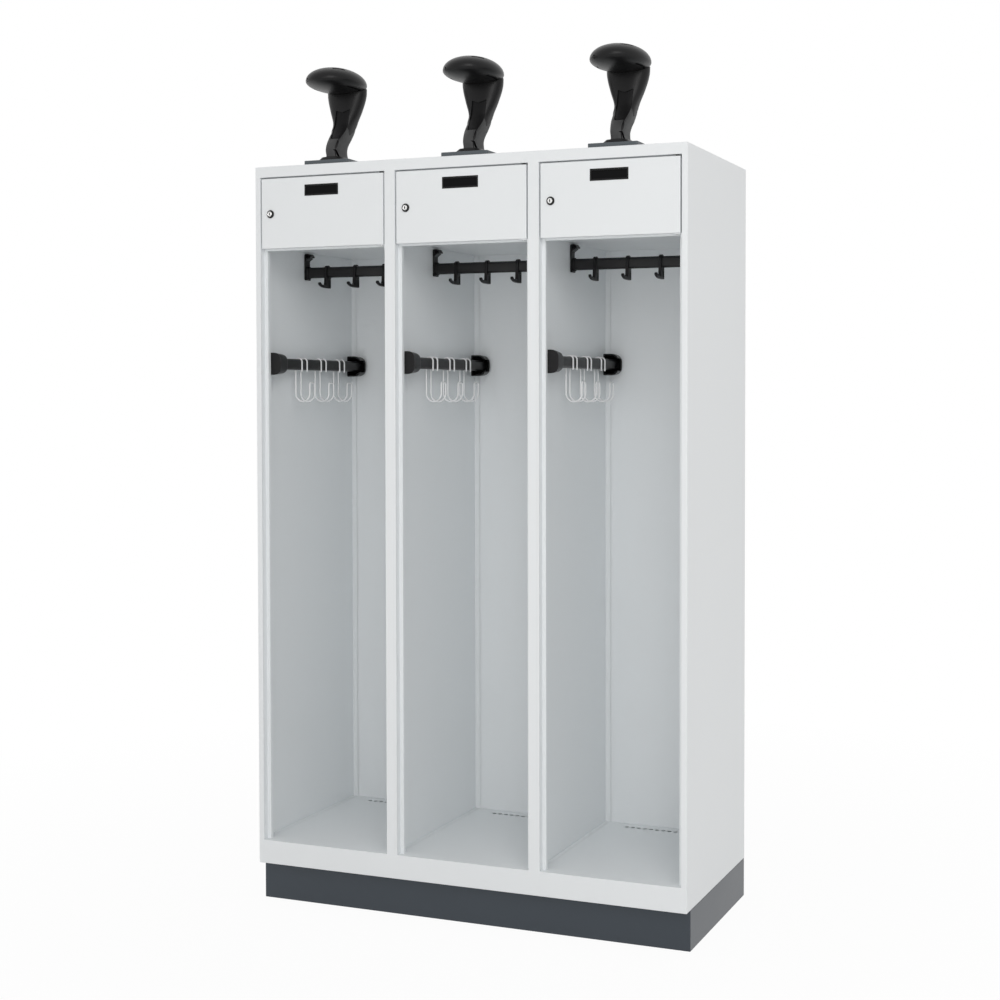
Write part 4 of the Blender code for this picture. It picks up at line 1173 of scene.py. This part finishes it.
# Head
HEAD_CENTRE = Vector((0, 0.080, 0.2065))
HEAD_WIDE = 0.073
HEAD_LONG = 0.097
HEAD_ABOVE = 0.0397
HEAD_BELOW = 0.023
HEAD_SEGMENTS = 64
HEAD_RINGS = 36
SEAM = (Vector((-0.080, -0.030, -0.0158)), Vector((0.080, 0.110, -0.0144)))
SEAM_DEPTH = 0.0022
HEAD_HOLES = ((-0.0388, 0.0012, 0.0024), (-0.0398, -0.0048, 0.0015))
HEAD_HOLE_FRONT = -0.1000
HEAD_HOLE_LENGTH = 0.060
HEAD_CUT_DEPTH = 0.0060
TOP_SLOT_START = Vector((0.0230, -0.0600, 0.0))
TOP_SLOT_ALONG = Vector((0.0235, 0.0235, 0.0))
TOP_SLOT_HALF = 0.0046
TOP_SLOT_ENDS = (0.020, 0.045)

# Plate and screws
PLATE_CORNER = 0.004
PLATE_EDGE = 0.0009
SCREW_INSET = 0.014
SCREW_SINK = ((0.0026, -0.0032), (0.0052, 0.0), (0.0054, 0.001))
SCREW_HEAD = ((0.0024, -0.0030), (0.0047, -0.0004), (0.0047, -0.0002), (0.0040, 0.0))
SCREW_CROSS = (Vector((0.0026, 0.0005, 0.0010)), Vector((0.0005, 0.0026, 0.0010)))


def smooth_levels(levels):
    """Levels through a few given ones, on a curve that passes through each."""
    made = []
    for i in range(len(levels) - 1):
        before = levels[max(i - 1, 0)]
        start, end = levels[i], levels[i + 1]
        after = levels[min(i + 2, len(levels) - 1)]
        fine = LEVEL_STEPS if end[0] - start[0] > SHORT_LEVEL else 1
        for step in range(fine):
            share = step / fine
            level = [0.5 * (2 * b + (c - a) * share + (2 * a - 5 * b + 4 * c - d) * share ** 2
                            + (3 * b - a - 3 * c + d) * share ** 3)
                     for a, b, c, d in zip(before, start, end, after)]
            level[0] = start[0] + (end[0] - start[0]) * share
            made.append(level)
    return made + [levels[-1]]


def stem_ring(level, foot, shrink=0.0):
    """A rounded box seen from above, rounder the higher it is, shrunk inward by a depth if asked."""
    up, half, front, rear = level
    front += shrink
    rear -= shrink
    roundness = FOOT_ROUNDNESS + (HEAD_ROUNDNESS - FOOT_ROUNDNESS) * up / STEM_HEIGHT
    points = []
    for step in range(STEM_STEPS):
        angle = 2 * math.pi * (step + 0.5) / STEM_STEPS
        across, deep = (math.copysign(abs(share) ** roundness, share)
                        for share in (math.cos(angle), math.sin(angle)))
        points.append((foot.x + (half - shrink) * across,
                       foot.y + (front + rear) / 2 + (rear - front) / 2 * deep, foot.z + up))
    return points


def add_head(made, foot, grow):
    """Adds the domed head of a helmet holder, grown all round by an amount."""
    size = Matrix.Diagonal((HEAD_WIDE + grow, HEAD_LONG + grow, 1.0, 1.0))
    ball = bmesh.ops.create_uvsphere(made, u_segments=HEAD_SEGMENTS, v_segments=HEAD_RINGS, radius=1.0,
                                     matrix=size)
    for vert in ball["verts"]:
        vert.co.z *= (HEAD_ABOVE if vert.co.z > 0 else HEAD_BELOW) + grow
        vert.co += foot + HEAD_CENTRE


def rows_between(low, high, shares):
    """Rows of points at some shares of the way from one row to another."""
    return [[(a + (c - a) * share, b + (d - b) * share) for (a, b), (c, d) in zip(low, high)]
            for share in shares]


class LOCKER_OT_helmet_holders(bpy.types.Operator):
    """Build the helmet holders: plate, moulded stem and domed head"""

    bl_idname = "locker.helmet_holders"
    bl_label = "Helmet holders"

    def execute(self, context):
        first_foot = None
        first_pieces = []
        for bay in BAYS:
            low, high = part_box(f"helmet_plate_{bay}")
            self.plate(bay, low, high)
            foot = Vector(((low.x + high.x) / 2, FRONT, high.z))
            if not first_pieces:
                first_foot = foot
                first_pieces = [self.stem(foot), self.head(foot)]
            for first, word in zip(first_pieces, ("stem", "head")):
                piece = first
                if bay > BAYS[0]:
                    mesh = first.data.copy()
                    mesh.transform(Matrix.Translation(foot - first_foot))
                    piece = bpy.data.objects.new(f"holder_{word}_{bay}", mesh)
                    context.scene.collection.objects.link(piece)
                settle(piece, "carcass", "black_plastic", f"helmet_{word}_{bay}")
        return {"FINISHED"}

    def plate(self, bay, low, high):
        """The plate on the locker's top and the four screws that hold it."""
        piece = new_piece(f"holder_plate_{bay}", box_mesh("plate", low, high), "plate_grey_paint")
        round_edges(piece, PLATE_CORNER, same("xy"), 4)
        round_edges(piece, PLATE_EDGE, lambda a, b: near(a.z, high.z) and near(b.z, high.z), 2)
        spots = [Vector((x, y, high.z)) for x in (low.x + SCREW_INSET, high.x - SCREW_INSET)
                 for y in (low.y + SCREW_INSET, high.y - SCREW_INSET)]
        for spot in spots:
            shape(piece, turned_mesh("sink", SCREW_SINK, spot, "Z", BORE_STEPS))
        complete(piece, "carcass", "plate_grey_paint", f"helmet_plate_{bay}")

        def screws(made):
            for spot in spots:
                add_turned(made, SCREW_HEAD, spot, "Z", BORE_STEPS)

        heads = new_piece(f"plate_screws_{bay}", new_mesh("screws", screws), "lock_chrome")
        for spot in spots:
            for arm in SCREW_CROSS:
                shape(heads, box_mesh("cross", spot - arm, spot + arm))
        complete(heads, "carcass", "lock_chrome")

    def stem(self, foot):
        """The moulded stem, with its foot flange, joint lines, sunk front panel, and stepped sides and
        lower front painted paler as painted light.
        """
        levels = smooth_levels(STEM_LEVELS)
        piece = new_piece("holder_stem_1", loft_mesh("stem", [stem_ring(level, foot) for level in levels]),
                          "black_plastic")

        def cut(blocks, depth, paint):
            rings = [stem_ring(level, foot, depth) for level in levels]
            skin_cut(piece, blocks, lambda made: add_loft(made, rings), paint)

        def grid(rings, rows, ends):
            return lambda made: add_sheet_block(
                made, *(rings(foot, *((end, row) for row in rows)) for end in ends))

        def boxes(*corners):
            def build(made):
                for low, high in corners:
                    add_box(made, foot + Vector(low), foot + Vector(high))
            return build

        # The side facets are painted paler: painted light where these faces catch more light.
        painted_light_facet = rows_between(FACET_FOOT, FACET_HEAD, (0.0, 0.25, 0.5, 0.75, 1.0))
        for side in (-1, 1):
            ends = [side * end for end in FACET_ENDS]
            cut(grid(rings_across, painted_light_facet, ends), FACET_DEPTH, "grained_plastic_painted_light")
        panel = rows_between(PANEL_FOOT, PANEL_WAIST, (0.0, 0.5))
        panel += rows_between(PANEL_WAIST, PANEL_HEAD, (0.0, 0.5, 1.0))
        cut(grid(rings_deep, panel, PANEL_ENDS), PANEL_DEPTH, "matt_plastic")
        # The lower front is painted the same paler plastic, as painted light.
        cut(boxes(SHIN), SHIN_DEPTH, "grained_plastic_painted_light")
        cut(boxes(LINE_ACROSS), LINE_ACROSS_DEPTH, "dull_plastic_and_painted_shade")
        cut(boxes(LINE_DOWN, LEDGE), LINE_DOWN_DEPTH, "dull_plastic_and_painted_shade")
        cut(grid(rings_across, SLOT_ROWS, SLOT_ENDS), SLOT_DEPTH, "dull_plastic_and_painted_shade")
        shape(piece, new_mesh("seat", lambda made: add_head(made, foot, CLEAR)))
        even(piece)
        return piece

    def head(self, foot):
        """The domed head, with its top slot, front holes and seam."""
        piece = new_piece("holder_head_1", new_mesh("head", lambda made: add_head(made, foot, 0.0)),
                          "black_plastic")
        centre = foot + HEAD_CENTRE

        def seam(made):
            add_box(made, *(centre + corner for corner in SEAM))

        def holes(made):
            for x, z, radius in HEAD_HOLES:
                spot = centre + Vector((x, HEAD_HOLE_FRONT, z))
                add_turned(made, [(radius, 0), (radius, HEAD_HOLE_LENGTH)], spot, "Y", PIN_STEPS)

        def top_slot(made):
            across = TOP_SLOT_ALONG.cross(Vector((0, 0, 1))).normalized() * TOP_SLOT_HALF
            starts = (TOP_SLOT_START, TOP_SLOT_START + TOP_SLOT_ALONG)
            add_sheet_block(made, *([[centre + start + turn * across + Vector((0, 0, up))
                                      for turn in (-1, 1)] for start in starts] for up in TOP_SLOT_ENDS))

        for blocks, depth in ((seam, SEAM_DEPTH), (holes, HEAD_CUT_DEPTH), (top_slot, HEAD_CUT_DEPTH)):
            skin_cut(piece, blocks, lambda made: add_head(made, foot, -depth), "dull_plastic_and_painted_shade")
        even(piece)
        return piece


# Studio

FLOOR_REACH = 14.0
FLOOR_LOOK = {"Base Color": (0.82, 0.82, 0.82, 1.0), "Roughness": 0.8, "Specular IOR Level": 0.2}
FLOOR_FADE = {"From Min": 0.8, "From Max": 2.6, "To Min": 0.95}
SKY_SPAN = {"From Min": -0.4, "From Max": 0.6}
WHITE = (1.0, 1.0, 1.0, 1.0)
SENSOR_WIDTH = 36.0
CLIP_END = 60.0
LAMPS = (
    ("key_lamp", (1.2, -5.2, 0.9), (0, 0, 1.0), (3.2, 1.7), 1.0),
    ("top_lamp", (2.4, -3.8, 3.6), (0, 0, 0.8), (2.4, 2.4), 1.7),
    ("side_lamp", (4.2, 0.6, 2.2), (0.6, 0, 1.0), (2.4, 2.4), 0.1),
)


def mix_to(tree, end, share, usual, other):
    """Gives the end node of a tree a mix of two shaders."""
    mix = node(tree, "ShaderNodeMixShader", {0: share, 1: usual.outputs[0], 2: other.outputs[0]})
    feed(tree, tree.nodes[end], {"Surface": mix.outputs[0]})


def seen(tree):
    """Whether a ray comes from the camera, from a reflection or through glass."""
    ray = node(tree, "ShaderNodeLightPath", {}).outputs
    either = maths(tree, "MAXIMUM", ray["Is Camera Ray"], ray["Is Glossy Ray"])
    return maths(tree, "MAXIMUM", either, ray["Is Transmission Ray"])


class LOCKER_OT_studio(bpy.types.Operator):
    """Set the floor, the sky, the lamps and the camera"""

    bl_idname = "locker.studio"
    bl_label = "Studio"

    def execute(self, context):
        studio = context.scene.locker_studio
        PAINTS["studio_floor"] = self.floor_material()
        mesh = new_mesh("floor", lambda made: bmesh.ops.create_grid(
            made, x_segments=1, y_segments=1, size=FLOOR_REACH))
        new_piece("studio_floor", mesh, "studio_floor")
        context.scene.world = self.sky(studio)
        for name, place, aim, size, share in LAMPS:
            self.lamp(name, Vector(place), Vector(aim), size, studio.key_strength * share)
        camera = bpy.data.objects.new("camera", bpy.data.cameras.new("camera"))
        context.scene.collection.objects.link(camera)
        camera.location = studio.camera_place
        camera.rotation_euler = studio.camera_turn
        camera.data.lens = studio.lens
        camera.data.sensor_width = SENSOR_WIDTH
        camera.data.shift_x, camera.data.shift_y = studio.camera_shift
        camera.data.clip_end = CLIP_END
        context.scene.camera = camera
        context.scene.view_settings.view_transform = "Standard"
        return {"FINISHED"}

    def floor_material(self):
        """A pale floor that fades to white in the camera's rays and keeps a faint shadow."""
        paint = bpy.data.materials.new("studio_floor")
        paint.use_nodes = True
        tree = paint.node_tree
        shader = tree.nodes["Principled BSDF"]
        feed(tree, shader, FLOOR_LOOK)
        glow = node(tree, "ShaderNodeEmission", {})
        place = node(tree, "ShaderNodeNewGeometry", {}).outputs["Position"]
        reach = node(tree, "ShaderNodeVectorMath", {0: place}, operation="LENGTH").outputs["Value"]
        fade = node(tree, "ShaderNodeMapRange", {"Value": reach, **FLOOR_FADE})
        mix_to(tree, "Material Output", maths(tree, "MULTIPLY", seen(tree), fade.outputs[0]), shader, glow)
        return paint

    def sky(self, studio):
        """A sky that is white to the camera and a little brighter behind the locker than in front."""
        world = bpy.data.worlds.new("studio")
        world.use_nodes = True
        tree = world.node_tree
        place = node(tree, "ShaderNodeTexCoord", {}).outputs["Generated"]
        split = node(tree, "ShaderNodeSeparateXYZ", {0: place})
        slope = node(tree, "ShaderNodeMapRange", {
            "Value": split.outputs["Y"], **SKY_SPAN, "To Min": studio.sky_front,
            "To Max": studio.sky_behind})
        light = tree.nodes["Background"]
        feed(tree, light, {"Color": rgba(studio.light), "Strength": slope.outputs[0]})
        white = node(tree, "ShaderNodeBackground", {"Color": WHITE})
        mix_to(tree, "World Output", seen(tree), light, white)
        return world

    def lamp(self, name, place, aim, size, power):
        """A soft rectangular lamp."""
        data = bpy.data.lights.new(name, "AREA")
        data.shape = "RECTANGLE"
        data.size, data.size_y = size
        data.energy = power
        data.color = bpy.context.scene.locker_studio.light
        lamp = bpy.data.objects.new(name, data)
        bpy.context.scene.collection.objects.link(lamp)
        lamp.location = place
        lamp.rotation_euler = (aim - place).to_track_quat("-Z", "Y").to_euler()


class LOCKER_PT_sidebar(bpy.types.Panel):
    """Steps and values of the locker"""

    bl_label = "Gear locker"
    bl_idname = "LOCKER_PT_sidebar"
    bl_space_type = "VIEW_3D"
    bl_region_type = "UI"
    bl_category = "Locker"

    def draw(self, context):
        for step in STEPS:
            self.layout.operator(step.bl_idname)
        scene = context.scene
        for group in (scene.locker_sizes, scene.locker_colours, scene.locker_studio):
            box = self.layout.box()
            for label in group.bl_rna.properties.keys():
                if label not in ("rna_type", "name"):
                    box.prop(group, label)


STEPS = (
    LOCKER_OT_carcass,
    LOCKER_OT_sheets,
    LOCKER_OT_plinth,
    LOCKER_OT_doors,
    LOCKER_OT_hinges,
    LOCKER_OT_labels,
    LOCKER_OT_locks,
    LOCKER_OT_coat_rails,
    LOCKER_OT_coat_hooks,
    LOCKER_OT_side_rails,
    LOCKER_OT_wire_hooks,
    LOCKER_OT_helmet_holders,
    LOCKER_OT_studio,
)
CLASSES = (LockerSizes, LockerColours, LockerStudio, *STEPS, LOCKER_PT_sidebar)


def register():
    """Adds the classes and their values to the scene."""
    for made in CLASSES:
        bpy.utils.register_class(made)
    bpy.types.Scene.locker_sizes = PointerProperty(type=LockerSizes)
    bpy.types.Scene.locker_colours = PointerProperty(type=LockerColours)
    bpy.types.Scene.locker_studio = PointerProperty(type=LockerStudio)


def unregister():
    """Takes the classes and their values away."""
    del bpy.types.Scene.locker_studio
    del bpy.types.Scene.locker_colours
    del bpy.types.Scene.locker_sizes
    for made in reversed(CLASSES):
        bpy.utils.unregister_class(made)


def main():
    """Builds every piece in order."""
    register()
    PAINTS.update(paint_box(bpy.context.scene.locker_colours))
    for step in STEPS:
        group, name = step.bl_idname.split(".")
        getattr(getattr(bpy.ops, group), name)()


if __name__ == "__main__":
    main()
